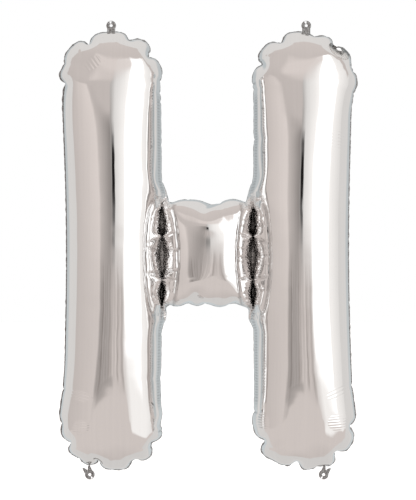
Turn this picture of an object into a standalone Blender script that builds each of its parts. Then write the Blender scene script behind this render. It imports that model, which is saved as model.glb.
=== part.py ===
"""Silver foil balloon in the shape of the letter H, inflated, 0.86 m tall.

Two die-cut foil panels are welded together round the letter's outline and along three short
dashes at each junction of the crossbar. Metres, +Z up, the front of the letter faces -Y, and
the origin is the middle of the balloon.
"""

import math

import bmesh
import bpy
from mathutils import Matrix, Vector

# Letter
HEIGHT = 0.860
UPRIGHT_SPACING = 0.3736
UPRIGHT_HALF_WIDTH = 0.0960
UPRIGHT_HALF_DEPTH = 0.0900
UPRIGHT_WAIST = 0.955
CAP_HEIGHT = 0.0940

# Scalloped lobes that the foil gathers into round each end of an upright
CAP_LOBES = 7
LOBE_STEPS = 4
LOBE_DEPTH = 0.045
DEPTH_STEPS = 14

# Crossbar
CROSSBAR_Z = -0.0060
CROSSBAR_HALF_HEIGHT = 0.1045
CROSSBAR_HALF_WIDTH = 0.0830
CROSSBAR_HALF_DEPTH = 0.0520
CROSSBAR_SQUARENESS = 0.62
CROSSBAR_STEPS = 40
WEB_HALF_DEPTH = 0.0090
WEB_ROUNDING = 0.0080
WEB_OUTLINE = ((0.0000, 0.0985), (0.0660, 0.1005), (0.0780, 0.1075), (0.0880, 0.1170), (0.1050, 0.1380))

# Foil and its welds
WALL = 0.0010
WELD_HALF_THICKNESS = 0.0005
GAP = 0.0003
SEAM_WIDTH = 0.0040
SEAM_OVERLAP = 0.0025

# Junction welds: the height of each dash's middle, and its half length
WELD_X = 0.0878
WELD_HALF_WIDTH = 0.0046
WELD_MARGIN = 0.0020
WELD_DASHES = {
    "upper": (0.0580, 0.0225),
    "middle": (-0.0155, 0.0405),
    "lower": (-0.0855, 0.0190),
}

# Hanging tabs: the eyelet's middle, and the way that the neck leaves the balloon
TAB_RADIUS = 0.0095
TAB_HOLE_RADIUS = 0.0034
TAB_NECK_HALF_WIDTH = 0.0072
TAB_NECK_LENGTH = 0.0300
TAB_ARC_STEPS = 28
TABS = {
    "upper_left": (-0.1882, 0.4405, 0.0),
    "upper_right": (0.1930, 0.4405, 0.0),
    "lower_left": (-0.2300, -0.4370, 154.0),
    "lower_right": (0.2270, -0.4370, -154.0),
}

# Self-sealing valve, in the upper right end
VALVE_LEAN = -42.0
VALVE_HALF_WIDTH = 0.0125
VALVE_HALF_THICKNESS = 0.0020
VALVE_SLOT_HALF_WIDTH = 0.0110
VALVE_SLOT_HALF_THICKNESS = 0.0010
VALVE_INSIDE = 0.0080
VALVE_OUTSIDE = 0.0065

FOIL_SILVER = (0.83, 0.81, 0.79, 1.0)
SEAM_SILVER = (0.66, 0.67, 0.68, 1.0)
VALVE_FILM = (0.86, 0.87, 0.88, 1.0)

FAR = 1.0


def clear_scene():
    for thing in list(bpy.data.objects):
        bpy.data.objects.remove(thing)


def make_material(name, colour, roughness, metallic):
    material = bpy.data.materials.new(name)
    material.use_nodes = True
    shader = material.node_tree.nodes["Principled BSDF"]
    shader.inputs["Base Color"].default_value = colour
    shader.inputs["Roughness"].default_value = roughness
    shader.inputs["Metallic"].default_value = metallic
    return material


def make_collection(name):
    collection = bpy.data.collections.new(name)
    bpy.context.scene.collection.children.link(collection)
    return collection


def object_from_bmesh(name, bm, collection):
    mesh = bpy.data.meshes.new(name)
    bmesh.ops.recalc_face_normals(bm, faces=bm.faces)
    bm.to_mesh(mesh)
    bm.free()
    made = bpy.data.objects.new(name, mesh)
    collection.objects.link(made)
    return made


def as_cutter(made):
    made.hide_render = True
    made.display_type = "WIRE"
    return made


def boolean(target, other, operation):
    modifier = target.modifiers.new(other.name, "BOOLEAN")
    modifier.operation = operation
    modifier.object = other
    modifier.solver = "EXACT"
    return target


def apply_all(made):
    """Replaces the object's mesh with its evaluated one, so that it can be cut and copied."""
    graph = bpy.context.evaluated_depsgraph_get()
    mesh = bpy.data.meshes.new_from_object(made.evaluated_get(graph))
    made.modifiers.clear()
    made.data = mesh
    return made


def remove(made):
    bpy.data.objects.remove(made)


def pillow(name, longitudes, shape, collection):
    """A sphere with its poles at the front and back, each vertex moved to shape(longitude, latitude)."""
    bm = bmesh.new()
    bmesh.ops.create_uvsphere(bm, u_segments=longitudes, v_segments=DEPTH_STEPS, radius=1.0)
    bmesh.ops.rotate(bm, verts=bm.verts, matrix=Matrix.Rotation(math.radians(90), 3, "X"))
    for vertex in bm.verts:
        x, y, z = vertex.co
        latitude = math.asin(max(-1.0, min(1.0, y)))
        vertex.co = shape(math.atan2(z, x), latitude)
    return object_from_bmesh(name, bm, collection)


def upright(name, centre_x, grow, collection):
    """One upright: a tube whose ends close in scalloped lobes, grown outwards by grow."""
    half_width = UPRIGHT_HALF_WIDTH + grow
    half_depth = UPRIGHT_HALF_DEPTH + grow
    cap_height = CAP_HEIGHT + grow
    straight = HEIGHT / 2 - CAP_HEIGHT

    def shape(longitude, latitude):
        across = math.cos(longitude)
        along = math.sin(longitude)
        if abs(along) < 1e-6:
            return Vector(
                (
                    centre_x + half_width * UPRIGHT_WAIST * across * math.cos(latitude),
                    half_depth * math.sin(latitude),
                    0.0,
                )
            )
        petal = abs(math.sin(CAP_LOBES * longitude))
        rim = 1.0 - LOBE_DEPTH * (1.0 - petal) * math.cos(latitude) ** 2
        return Vector(
            (
                centre_x + half_width * rim * across * math.cos(latitude),
                half_depth * math.sin(latitude),
                math.copysign(straight, along) + cap_height * rim * along * math.cos(latitude),
            )
        )

    return pillow(name, 2 * CAP_LOBES * LOBE_STEPS, shape, collection)


def crossbar(name, grow, collection):
    """The crossbar's own pillow, square in outline with rounded corners."""

    def squared(value):
        return math.copysign(abs(value) ** CROSSBAR_SQUARENESS, value)

    def shape(longitude, latitude):
        return Vector(
            (
                (CROSSBAR_HALF_WIDTH + grow) * squared(math.cos(longitude)) * math.cos(latitude),
                (CROSSBAR_HALF_DEPTH + grow) * math.sin(latitude),
                CROSSBAR_Z
                + (CROSSBAR_HALF_HEIGHT + grow) * squared(math.sin(longitude)) * math.cos(latitude),
            )
        )

    return pillow(name, CROSSBAR_STEPS, shape, collection)


def block(name, middle, half_size, collection):
    bm = bmesh.new()
    bmesh.ops.create_cube(bm, size=2.0)
    bmesh.ops.scale(bm, verts=bm.verts, vec=Vector(half_size))
    bmesh.ops.translate(bm, verts=bm.verts, vec=Vector(middle))
    return object_from_bmesh(name, bm, collection)


def web(name, grow, collection):
    """The nearly flat foil that runs past the junction welds, flaring where it meets the uprights."""
    curve = bpy.data.curves.new(name, "CURVE")
    curve.dimensions = "2D"
    curve.fill_mode = "BOTH"
    curve.extrude = WEB_HALF_DEPTH - WEB_ROUNDING
    curve.bevel_depth = WEB_ROUNDING + grow
    curve.bevel_resolution = 2
    edge = [(x, height - WEB_ROUNDING) for x, height in WEB_OUTLINE]
    top = [(-x, height) for x, height in reversed(edge[1:])] + edge
    outline = top + [(x, -height) for x, height in reversed(top)]
    spline = curve.splines.new("POLY")
    spline.points.add(len(outline) - 1)
    for point, (across, along) in zip(spline.points, outline):
        point.co = (across, CROSSBAR_Z + along, 0.0, 1.0)
    spline.use_cyclic_u = True
    made = bpy.data.objects.new(name, curve)
    collection.objects.link(made)
    made.rotation_euler = (math.radians(90), 0.0, 0.0)
    return mesh_from_curve(made, collection)


def letter(name, grow, collection):
    """The whole inflated letter as one closed body, grown outwards by grow."""
    made = upright(name, -UPRIGHT_SPACING / 2, grow, collection)
    others = [
        upright(f"{name}_right", UPRIGHT_SPACING / 2, grow, collection),
        crossbar(f"{name}_crossbar", grow, collection),
        web(f"{name}_web", grow, collection),
    ]
    for other in others:
        boolean(made, other, "UNION")
    apply_all(made)
    for other in others:
        remove(other)
    return made


def weld_positions():
    """Yields (name, x, z, half length) for each junction weld."""
    for side, sign in (("left", -1), ("right", 1)):
        for place, (height, half_length) in WELD_DASHES.items():
            yield f"{side}_junction_weld_{place}", sign * WELD_X, height, half_length


def lens_curve(name, x, z, half_width, half_length, half_thickness, collection):
    """A flat spearhead outline lying in the XZ plane, extruded along Y."""
    curve = bpy.data.curves.new(name, "CURVE")
    curve.dimensions = "2D"
    curve.fill_mode = "BOTH"
    curve.extrude = half_thickness
    shoulder = half_length - half_width * 2.2
    corners = [
        (0.0, half_length),
        (half_width, shoulder),
        (half_width, -shoulder),
        (0.0, -half_length),
        (-half_width, -shoulder),
        (-half_width, shoulder),
    ]
    spline = curve.splines.new("POLY")
    spline.points.add(len(corners) - 1)
    for point, (across, along) in zip(spline.points, corners):
        point.co = (across, along, 0.0, 1.0)
    spline.use_cyclic_u = True
    made = bpy.data.objects.new(name, curve)
    collection.objects.link(made)
    made.location = (x, 0.0, z)
    made.rotation_euler = (math.radians(90), 0.0, 0.0)
    return made


def mesh_from_curve(made, collection):
    """Turns a curve object into a welded mesh in place, which a Boolean can take."""
    bpy.context.view_layer.update()
    graph = bpy.context.evaluated_depsgraph_get()
    mesh = bpy.data.meshes.new_from_object(made.evaluated_get(graph))
    bm = bmesh.new()
    bm.from_mesh(mesh)
    bmesh.ops.remove_doubles(bm, verts=bm.verts, dist=1e-6)
    bmesh.ops.recalc_face_normals(bm, faces=bm.faces)
    bm.to_mesh(mesh)
    bm.free()
    name = made.name
    world = made.matrix_world.copy()
    remove(made)
    solid = bpy.data.objects.new(name, mesh)
    solid.matrix_world = world
    collection.objects.link(solid)
    return solid


def hanging_tab(name, x, z, lean, collection):
    """A round foil tab with an eyelet, whose neck points at the balloon. lean turns it about its eyelet."""
    curve = bpy.data.curves.new(name, "CURVE")
    curve.dimensions = "2D"
    curve.fill_mode = "BOTH"
    curve.extrude = WELD_HALF_THICKNESS
    neck_angle = math.asin(TAB_NECK_HALF_WIDTH / TAB_RADIUS)
    start = -math.pi / 2 + neck_angle
    sweep = 2 * math.pi - 2 * neck_angle
    outline = [
        (
            TAB_RADIUS * math.cos(start + sweep * step / TAB_ARC_STEPS),
            TAB_RADIUS * math.sin(start + sweep * step / TAB_ARC_STEPS),
        )
        for step in range(TAB_ARC_STEPS + 1)
    ]
    outline += [
        (-TAB_NECK_HALF_WIDTH, -TAB_NECK_LENGTH),
        (TAB_NECK_HALF_WIDTH, -TAB_NECK_LENGTH),
    ]
    eyelet = [
        (
            TAB_HOLE_RADIUS * math.cos(2 * math.pi * step / TAB_ARC_STEPS),
            TAB_HOLE_RADIUS * math.sin(2 * math.pi * step / TAB_ARC_STEPS),
        )
        for step in range(TAB_ARC_STEPS)
    ]
    for ring in (outline, eyelet):
        spline = curve.splines.new("POLY")
        spline.points.add(len(ring) - 1)
        for point, (across, along) in zip(spline.points, ring):
            point.co = (across, along, 0.0, 1.0)
        spline.use_cyclic_u = True
    made = bpy.data.objects.new(name, curve)
    collection.objects.link(made)
    made.matrix_world = (
        Matrix.Translation((x, 0.0, z))
        @ Matrix.Rotation(math.radians(lean), 4, "Y")
        @ Matrix.Rotation(math.radians(90), 4, "X")
    )
    return mesh_from_curve(made, collection)


def valve_frame():
    """Where the valve crosses the seam: +Z of this frame points out of the balloon."""
    lean = math.radians(-VALVE_LEAN)
    corner = Vector((UPRIGHT_SPACING / 2, 0.0, HEIGHT / 2 - CAP_HEIGHT))
    rim = Vector((UPRIGHT_HALF_WIDTH * math.sin(lean), 0.0, CAP_HEIGHT * math.cos(lean)))
    return Matrix.Translation(corner + rim) @ Matrix.Rotation(lean, 4, "Y")


def valve_block(name, half_width, half_thickness, inside, outside, collection):
    made = block(
        name,
        (0.0, 0.0, (outside - inside) / 2),
        (half_width, half_thickness, (outside + inside) / 2),
        collection,
    )
    made.data.transform(valve_frame())
    return made


def build():
    clear_scene()
    parts = make_collection("letter_h_foil_balloon")
    cutters = make_collection("cutters")
    foil = make_material("silver_foil", FOIL_SILVER, 0.12, 1.0)
    seam_foil = make_material("welded_foil", SEAM_SILVER, 0.25, 1.0)
    film = make_material("valve_film", VALVE_FILM, 0.30, 0.0)

    inner = as_cutter(letter("inner_body", -WALL, cutters))
    seam_inner = as_cutter(letter("seam_inner_body", -SEAM_OVERLAP, cutters))
    tab_trim = as_cutter(letter("tab_trim_body", SEAM_WIDTH + GAP, cutters))
    mid_slab = as_cutter(
        block("mid_slab", (0, 0, 0), (FAR, WELD_HALF_THICKNESS + GAP, FAR), cutters)
    )
    valve_room = as_cutter(
        valve_block(
            "valve_room",
            VALVE_HALF_WIDTH + GAP,
            VALVE_HALF_THICKNESS + GAP,
            VALVE_INSIDE + GAP,
            FAR / 10,
            cutters,
        )
    )

    # Windows in the panels, where the two foils are welded flat
    outer = letter("outer_body", 0.0, cutters)
    for name, x, z, half_length in weld_positions():
        window = lens_curve(
            f"{name}_window", x, z, WELD_HALF_WIDTH, half_length, FAR / 10, cutters
        )
        boolean(outer, as_cutter(mesh_from_curve(window, cutters)), "DIFFERENCE")
        room = lens_curve(
            f"{name}_room", x, z, WELD_HALF_WIDTH + WALL, half_length + 2 * WALL, FAR / 10, cutters
        )
        boolean(inner, as_cutter(mesh_from_curve(room, cutters)), "DIFFERENCE")
    boolean(outer, apply_all(inner), "DIFFERENCE")
    boolean(outer, mid_slab, "DIFFERENCE")
    boolean(outer, valve_room, "DIFFERENCE")
    as_cutter(apply_all(outer))

    # Foil panels
    for name, side in (("front_foil_panel", -1), ("back_foil_panel", 1)):
        panel = bpy.data.objects.new(name, outer.data.copy())
        parts.objects.link(panel)
        other_side = block(f"{name}_trim", (0, -side * FAR, 0), (FAR, FAR, FAR), cutters)
        boolean(panel, as_cutter(other_side), "DIFFERENCE")
        panel.data.materials.clear()
        panel.data.materials.append(foil)

    # Weld round the outline
    seam = letter("perimeter_seam", SEAM_WIDTH, parts)
    boolean(seam, seam_inner, "DIFFERENCE")
    film_slab = block("film_slab", (0, 0, 0), (FAR, WELD_HALF_THICKNESS, FAR), cutters)
    boolean(seam, as_cutter(film_slab), "INTERSECT")
    boolean(seam, valve_room, "DIFFERENCE")
    seam.data.materials.append(seam_foil)

    # Junction welds
    for name, x, z, half_length in weld_positions():
        weld = lens_curve(
            name,
            x,
            z,
            WELD_HALF_WIDTH + WELD_MARGIN,
            half_length + 2 * WELD_MARGIN,
            WELD_HALF_THICKNESS,
            parts,
        )
        weld.data.materials.append(seam_foil)

    # Hanging tabs
    for place, (x, z, lean) in TABS.items():
        tab = hanging_tab(f"{place}_hanging_tab", x, z, lean, parts)
        boolean(tab, tab_trim, "DIFFERENCE")
        tab.data.materials.append(seam_foil)

    # Valve sleeve
    valve = valve_block(
        "inflation_valve", VALVE_HALF_WIDTH, VALVE_HALF_THICKNESS, VALVE_INSIDE, VALVE_OUTSIDE, parts
    )
    slot = valve_block(
        "valve_slot",
        VALVE_SLOT_HALF_WIDTH,
        VALVE_SLOT_HALF_THICKNESS,
        2 * VALVE_INSIDE,
        2 * VALVE_OUTSIDE,
        cutters,
    )
    boolean(valve, as_cutter(slot), "DIFFERENCE")
    valve.data.materials.append(film)


build()
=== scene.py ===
"""Looks of the silver letter H foil balloon.

The two foil panels start as one flat die-cut pattern, welded together round the outline and along the
junction dashes. They are stood up near the inflated shape and drawn in where the photograph shows the
round ends creased, and a cloth simulation blows them up. It gives the tubes, the swell of the lobes and
the broad pull of the welds. The shortest waves are then taken out, and the sharp creases, the pinches
along the seam and the beads and clefts beside the welds are pressed in at places read off the
photograph. The sealed edge, the weld strips, the hanging tabs and the filling valve are made round that
shape. The studio that the foil mirrors is made up. Metres, +Z up, the front of the letter faces -Y.
"""

import math

import bmesh
import bpy
import numpy as np
from mathutils import Matrix, Vector, noise
from mathutils.bvhtree import BVHTree
from mathutils.geometry import delaunay_2d_cdt
from mathutils.kdtree import KDTree


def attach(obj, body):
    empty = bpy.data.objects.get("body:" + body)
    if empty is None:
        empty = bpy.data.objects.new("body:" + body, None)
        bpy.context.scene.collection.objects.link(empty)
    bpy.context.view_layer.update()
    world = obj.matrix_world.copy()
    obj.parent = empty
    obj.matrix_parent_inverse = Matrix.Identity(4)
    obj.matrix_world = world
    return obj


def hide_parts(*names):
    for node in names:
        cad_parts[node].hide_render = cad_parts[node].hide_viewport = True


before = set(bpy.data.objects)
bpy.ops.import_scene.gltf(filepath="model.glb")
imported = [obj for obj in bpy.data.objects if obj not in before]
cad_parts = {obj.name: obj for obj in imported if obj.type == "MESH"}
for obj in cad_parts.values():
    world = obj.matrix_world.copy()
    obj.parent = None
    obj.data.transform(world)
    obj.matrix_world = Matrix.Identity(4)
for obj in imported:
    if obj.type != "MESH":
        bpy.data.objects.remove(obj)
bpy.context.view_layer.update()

# Flat pattern of one panel, as it is die-cut: an H of two wide uprights and a crossbar
CUT_UPRIGHT_WIDTH = 0.2855
CUT_LENGTH = 0.9220
CUT_SPACING = 0.5360
CUT_CROSSBAR_HEIGHT = 0.2490
CUT_CROSSBAR_Z = -0.0045
CUT_CROSSBAR_BOW = 0.0100
CUT_CAP_HEIGHT = 0.1500
CUT_CAP_SQUARENESS = 2.2
CUT_FILLET = 0.0280
CUT_SPLAY = 0.0120
CUT_INNER_TAPER = 0.0040

# Junction welds on the flat pattern: bottom and top of each dash, for the left and the right junction
WELD_INSET = 0.1495
WELD_HALF_WIDTH = 0.0024
WELD_TIP = 0.0075
WELD_DASHES = {
    "left": ((0.0345, 0.0835), (-0.0445, 0.0275), (-0.0590, -0.0475), (-0.1120, -0.0665)),
    "right": ((0.0345, 0.0835), (-0.0590, 0.0275), (-0.1120, -0.0665)),
}

# The inflated letter that the film starts from
UPRIGHT_X = 0.1868
UPRIGHT_RADIUS = 0.0943
BODY_HALF_HEIGHT = 0.4300
CAP_HEIGHT = 0.1040
WELD_X = 0.0886
CROSSBAR_HEIGHT = 0.2070
CROSSBAR_HALF_DEPTH = 0.0500

# Creases that gather each round end into lobes, in degrees about the end's centre, from the photograph
LOBE_CREASES = {
    (-1, 1): (172, 151, 114, 75, 46, 10, -17),
    (1, 1): (185, 147, 112, 79, 57, 26, -4),
    (-1, -1): (180, -168, -146, -127, -105, -71, -42, -15),
    (1, -1): (167, -142, -118, -96, -76, -51, -16),
}
LOBE_CREASE_DEPTH = 0.0100
LOBE_CREASE_WIDTH = 7.0
LOBE_NOTCH_DEPTH = 0.0006
LOBE_NOTCH_WIDTH = 5.0

# Mesh of the film
FILM_STEP = 0.0105
RING_STEP = 0.0090
FILM_UNEVENNESS = 0.0008
FILM_SEED = 5

# Evening out of the film's shortest waves
EVEN_ROUNDS = 160
EVEN_PULL = 0.5
EVEN_PUSH = -0.526
EVEN_FROM = 0.012
EVEN_FADE = 0.030
FLANK_ROUNDS = 60
FLANK_START = 0.160
FLANK_END = 0.325

# Seam
SEAM_BAND_WIDTH = 0.0022
SEAM_BAND_ROWS = 3
SEAM_NOTCH_BEND = 75.0
SEAM_CAP_BEND = 50.0
SEAM_OVERLAP = 0.0003
FILM_THICKNESS = 0.0004

# Sharp creases pressed in square to the seam; the pinches between them as x, z, length and depth
LOBE_CREASE_LENGTH = 0.026
LOBE_CREASE_WANDER = 7.0
LOBE_GROOVE_DEPTH = 0.0012
GROOVE_WIDTH = 0.0026
# GROOVE_SHADE_WIDTH and CREASE_FULL_DEPTH set the painted shade along a crease: its width, and the depth at
# which it is darkest
GROOVE_SHADE_WIDTH = 0.0015
CREASE_FULL_DEPTH = 0.0018
VALLEY_DEPTH = 0.0016
VALLEY_WIDTH = 0.0230
VALLEY_LENGTH = 0.0850
SEAM_PINCHES = (
    (-0.091, 0.291, 0.034, 0.0020), (-0.093, 0.208, 0.034, 0.0012), (-0.094, 0.133, 0.036, 0.0016),
    (0.091, 0.326, 0.034, 0.0020), (0.093, 0.217, 0.026, 0.0010), (0.094, 0.130, 0.032, 0.0012),
    (-0.093, -0.162, 0.036, 0.0014), (-0.092, -0.350, 0.034, 0.0020), (-0.093, -0.249, 0.026, 0.0008),
    (0.093, -0.150, 0.030, 0.0010), (0.091, -0.3125, 0.036, 0.0021), (-0.038, 0.098, 0.014, 0.0014),
    (0.026, 0.088, 0.026, 0.0021), (0.075, 0.095, 0.012, 0.0016), (-0.072, 0.100, 0.012, 0.0016),
    (-0.071, -0.103, 0.012, 0.0018), (-0.004, -0.109, 0.012, 0.0010), (0.038, -0.099, 0.016, 0.0016),
    (0.278, 0.345, 0.022, 0.0021), (-0.280, 0.249, 0.022, 0.0012), (-0.279, 0.134, 0.012, 0.0010),
    (-0.278, -0.035, 0.010, 0.0008), (-0.280, -0.270, 0.026, 0.0016), (0.280, -0.262, 0.026, 0.0016),
    (0.279, 0.150, 0.012, 0.0010), (0.278, -0.100, 0.012, 0.0009),
)

# Transverse pinches beside the welds: which side, the height, how strong and how tilted
WELD_PINCHES = (
    (-1, 0.058, 0.35, 0.3), (-1, 0.026, 0.5, -0.4), (-1, 0.003, 1.0, 0.1), (-1, -0.014, 0.25, 0.2),
    (-1, -0.041, 1.0, -0.1), (-1, -0.050, 0.7, 0.2), (-1, -0.080, 0.3, -0.3),
    (1, 0.062, 0.4, 0.2), (1, 0.049, 0.35, 0.1), (1, 0.024, 0.6, -0.3), (1, 0.004, 0.35, 0.0),
    (1, -0.010, 0.8, 0.1), (1, -0.024, 0.35, -0.1), (1, -0.052, 0.9, 0.1), (1, -0.078, 0.3, 0.3),
)
WELD_PINCH_WIDTH = 0.0022
BEADS_MIDDLE = -0.012
BEADS_HALF_HEIGHT = 0.108
BEADS_FROM = 0.0570
BEADS_TO = 0.1205
BEAD_RISE = 0.0055
BEAD_FOLD_WIDTH = 0.0024
BEAD_FOLD_DEPTH = 0.0020
# How dark the painted shade is in the folds round the beads and in the pinches across them
BEAD_FOLD_SHADE = 0.45
BEAD_PINCH_SHADE = 0.30
# Pointed clefts over the welds, which get painted shade: bottom, top, widest height and half width
JUNCTION_CLEFTS = (
    (0.031, 0.084, 0.039, 0.0048),
    (-0.051, 0.0265, -0.006, 0.0066),
    (-0.109, -0.064, -0.082, 0.0045),
)
CLEFT_REACH = 0.020
CLEFT_SHUT = 0.0014
CLEFT_OPEN = 0.0080
JUNCTION_BRIDGES = (0.0285, -0.0565)
BRIDGE_HALF_HEIGHT = 0.0045
BRIDGE_LIFT = 0.014
CORNER_CRUMPLE = 0.0022
WELD_UPPER_FROM = 0.028
WELD_LOWER_FROM = -0.062

# Hanging tabs: centre, lean of the neck, where the vent lies, and how deep the neck is forked
TAB_RADIUS = 0.0095
TAB_HOLE_RADIUS = 0.0030
TAB_SEGMENTS = 32
TAB_VENT_RIM = 0.0007
TAB_NECK_HALF_WIDTH = 0.0080
TAB_NECK_LENGTH = 0.0170
TAB_WAVE = 0.0009
TAB_THICKNESS = 0.0005
HANGING_TABS = {
    "upper_left_hanging_tab": (-0.1882, 0.4405, 0.0, 12.0, 0.0),
    "upper_right_hanging_tab": (0.1930, 0.4405, 0.0, 12.0, 0.0),
    "lower_left_hanging_tab": (-0.2300, -0.4370, 154.0, 10.0, 0.0075),
    "lower_right_hanging_tab": (0.2270, -0.4370, -154.0, -10.0, 0.0075),
}

# Inflation valve's patch
VALVE_X = 0.2560
VALVE_Z = 0.3885
VALVE_LEAN = 37.0
VALVE_HALF_LENGTH = 0.0235
VALVE_HALF_HEIGHT = 0.0125
VALVE_ACROSS = 26
VALVE_UP = 16
VALVE_DOME = 0.0012
VALVE_CRUMPLE = 0.0022

# Small patches of parallel gathers on the front: x, z, slant in degrees, wavelength, half length,
# half width and height
GATHERED_PATCHES = (
    (-0.2218, 0.3616, 35.0, 0.0072, 0.024, 0.013, 0.00022),
    (-0.2450, -0.2790, 78.0, 0.0060, 0.014, 0.026, 0.00016),
    (-0.2450, -0.3420, 88.0, 0.0048, 0.020, 0.020, 0.00018),
    (0.2500, -0.3300, 92.0, 0.0052, 0.018, 0.022, 0.00018),
    (0.2540, 0.2150, 90.0, 0.0062, 0.024, 0.018, 0.00016),
    (0.2520, -0.2720, 112.0, 0.0070, 0.012, 0.026, 0.00018),
    (0.1050, -0.3300, 80.0, 0.0048, 0.020, 0.018, 0.00018),
)

# Gathers and grain in the film
RIPPLE_RATE = 1250.0
RIPPLE_HEIGHT = 0.00016
SEAL_GRAIN_RATE = 2100.0

# Studio
FLOOR_Z = -0.62
PHOTO_HEIGHT = 500
PHOTO_SCALE = 0.0019545
PHOTO_OFFSET_X = 0.5
PHOTO_OFFSET_Z = 1.0
CAMERA_DISTANCE = 4.5
PAPER_FORWARD = 12.0
FOIL_LOSS_GAIN = 1.12
SOFTBOX_GAIN = 1.5

# The studio's plain tones, as bright as they show in the foil, and the casts that they take
WHITE = 1.0
PALE = 0.95
LIGHT = 0.85
SOFT = 0.8
GREY = 0.75
DEEP = 0.65
DARK = 0.55
BLACK = 0.1
WARM_CAST = (1.0, 0.96, 0.94)
PLAIN_CAST = (1.0, 0.99, 0.98)
COOL_CAST = (0.96, 0.99, 1.0)

# Surfaces round the camera: the bearings in degrees where each starts and ends, its tone there and its
# cast
LEFT_FLAT = (-100, -35, GREY, LIGHT, WARM_CAST)
CURTAIN = (-30, -5, GREY, DARK, WARM_CAST)
PALE_WALL = (5, 20, LIGHT, PALE, PLAIN_CAST)
WHITE_SCREEN = (30, 65, WHITE, WHITE, PLAIN_CAST)
RIGHT_FLAT = (75, 105, PALE, LIGHT, PLAIN_CAST)
LOW_FLAT = (-100, -35, GREY, SOFT, WARM_CAST)
LOW_CURTAIN = (-30, -10, DEEP, DEEP, WARM_CAST)
RISER = (-5, 20, GREY, GREY, WARM_CAST)
LOW_SCREEN = (35, 60, PALE, PALE, PLAIN_CAST)

# The same for surfaces that change with height, in degrees, and for the card, in metres
CEILING_CLOTH = (15, 90, GREY, SOFT, WARM_CAST)
FLOOR_CLOTH = (-90, -45, GREY, SOFT, WARM_CAST)
PAPER = (-60, 60, SOFT, LIGHT, PLAIN_CAST)
BACKDROP_CARD = (-0.5, 0.0, SOFT, GREY, COOL_CAST)


def graded_steps(start, end, first, last):
    """Values from start to end, whose steps go evenly from about first to about last."""
    count = max(1, round(abs(end - start) / ((first + last) / 2)))
    steps = first + (last - first) * (np.arange(count) + 0.5) / count
    run = np.concatenate([[0.0], np.cumsum(steps)])
    return start + (end - start) * run / run[-1]


def resample(points, step):
    """Points a step apart along a closed line."""
    closed = np.vstack([points, points[:1]])
    run = np.concatenate([[0.0], np.cumsum(np.hypot(*np.diff(closed, axis=0).T))])
    count = round(run[-1] / step)
    at = np.arange(count) * run[-1] / count
    return np.stack([np.interp(at, run, closed[:, 0]), np.interp(at, run, closed[:, 1])], 1)


def cut_outline(step):
    """The closed outline of the flat cut, anticlockwise as seen from the front."""
    half_width = CUT_UPRIGHT_WIDTH / 2
    centre = CUT_SPACING / 2
    shoulder = CUT_LENGTH / 2 - CUT_CAP_HEIGHT
    top = CUT_CROSSBAR_Z + CUT_CROSSBAR_HEIGHT / 2
    bottom = CUT_CROSSBAR_Z - CUT_CROSSBAR_HEIGHT / 2
    reach = centre - half_width - CUT_FILLET

    turn = np.linspace(0.0, math.pi, 241)
    power = 2 / CUT_CAP_SQUARENESS
    cap_x = half_width * np.copysign(np.abs(np.cos(turn)) ** power, np.cos(turn))
    cap_z = CUT_CAP_HEIGHT * np.abs(np.sin(turn)) ** power

    def cap(x, up):
        if up > 0:
            return np.stack([x + cap_x, shoulder + cap_z], 1)
        return np.stack([x - cap_x, -shoulder - cap_z], 1)

    def fillet(x, z, start, end):
        angle = np.radians(np.linspace(start, end, 13))
        return np.stack([x + CUT_FILLET * np.cos(angle), z + CUT_FILLET * np.sin(angle)], 1)

    across = np.linspace(reach, -reach, 41)[1:-1]
    bow = CUT_CROSSBAR_BOW * (1 - (across / reach) ** 2)
    points = [
        cap(centre, 1),
        fillet(reach, top + CUT_FILLET, 0, -90),
        np.stack([across, top + bow], 1),
        fillet(-reach, top + CUT_FILLET, -90, -180),
        cap(-centre, 1),
        cap(-centre, -1),
        fillet(-reach, bottom - CUT_FILLET, 180, 90),
        np.stack([-across, bottom - bow], 1),
        fillet(reach, bottom - CUT_FILLET, 90, 0),
        cap(centre, -1),
    ]
    points = np.vstack(points)
    points[:, 0] += np.sign(points[:, 0]) * CUT_SPLAY * (np.abs(points[:, 1]) - 0.1).clip(0)
    from_centre = ((centre - np.abs(points[:, 0])) / half_width).clip(0, 1)
    taper = (1 - (np.abs(points[:, 1]) - 0.155) / 0.07).clip(-1.2, 1) * (np.abs(points[:, 1]) > 0.135)
    points[:, 0] -= np.sign(points[:, 0]) * CUT_INNER_TAPER * taper * from_centre
    notch_lobes(points, (centre, shoulder))
    return resample(points, step)


def crease_closeness(bearing, creases, width):
    """1 at each crease, falling to 0 on both sides of it."""
    closeness = np.zeros(len(bearing))
    for crease in creases:
        apart = (bearing - crease + 180) % 360 - 180
        closeness = np.maximum(closeness, np.exp(-((apart / width) ** 2)))
    return closeness


def notch_lobes(points, cap_centre):
    """Takes a shallow notch out of the cut at each crease of the round ends."""
    for (right, up), creases in LOBE_CREASES.items():
        near = (points[:, 0] * right > 0) & (points[:, 1] * up > cap_centre[1] - 0.06)
        spoke = points[near] - np.array([right * cap_centre[0], up * cap_centre[1]])
        bearing = np.degrees(np.arctan2(spoke[:, 1], spoke[:, 0]))
        depth = LOBE_NOTCH_DEPTH * crease_closeness(bearing, creases, LOBE_NOTCH_WIDTH)
        points[near] -= spoke / np.hypot(*spoke.T)[:, None] * depth[:, None]


def inside_cut(points):
    """Which points of the flat plane are on the film."""
    x = np.abs(points[:, 0])
    z = points[:, 1]
    across = np.abs(x - CUT_SPACING / 2) / (CUT_UPRIGHT_WIDTH / 2)
    rise = (np.abs(z) - (CUT_LENGTH / 2 - CUT_CAP_HEIGHT)).clip(0) / CUT_CAP_HEIGHT
    upright = across ** CUT_CAP_SQUARENESS + rise ** CUT_CAP_SQUARENESS < 1
    crossbar = (x < CUT_SPACING / 2) & (
        np.abs(z - CUT_CROSSBAR_Z) < CUT_CROSSBAR_HEIGHT / 2 + CUT_CROSSBAR_BOW
    )
    return upright | crossbar


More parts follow.
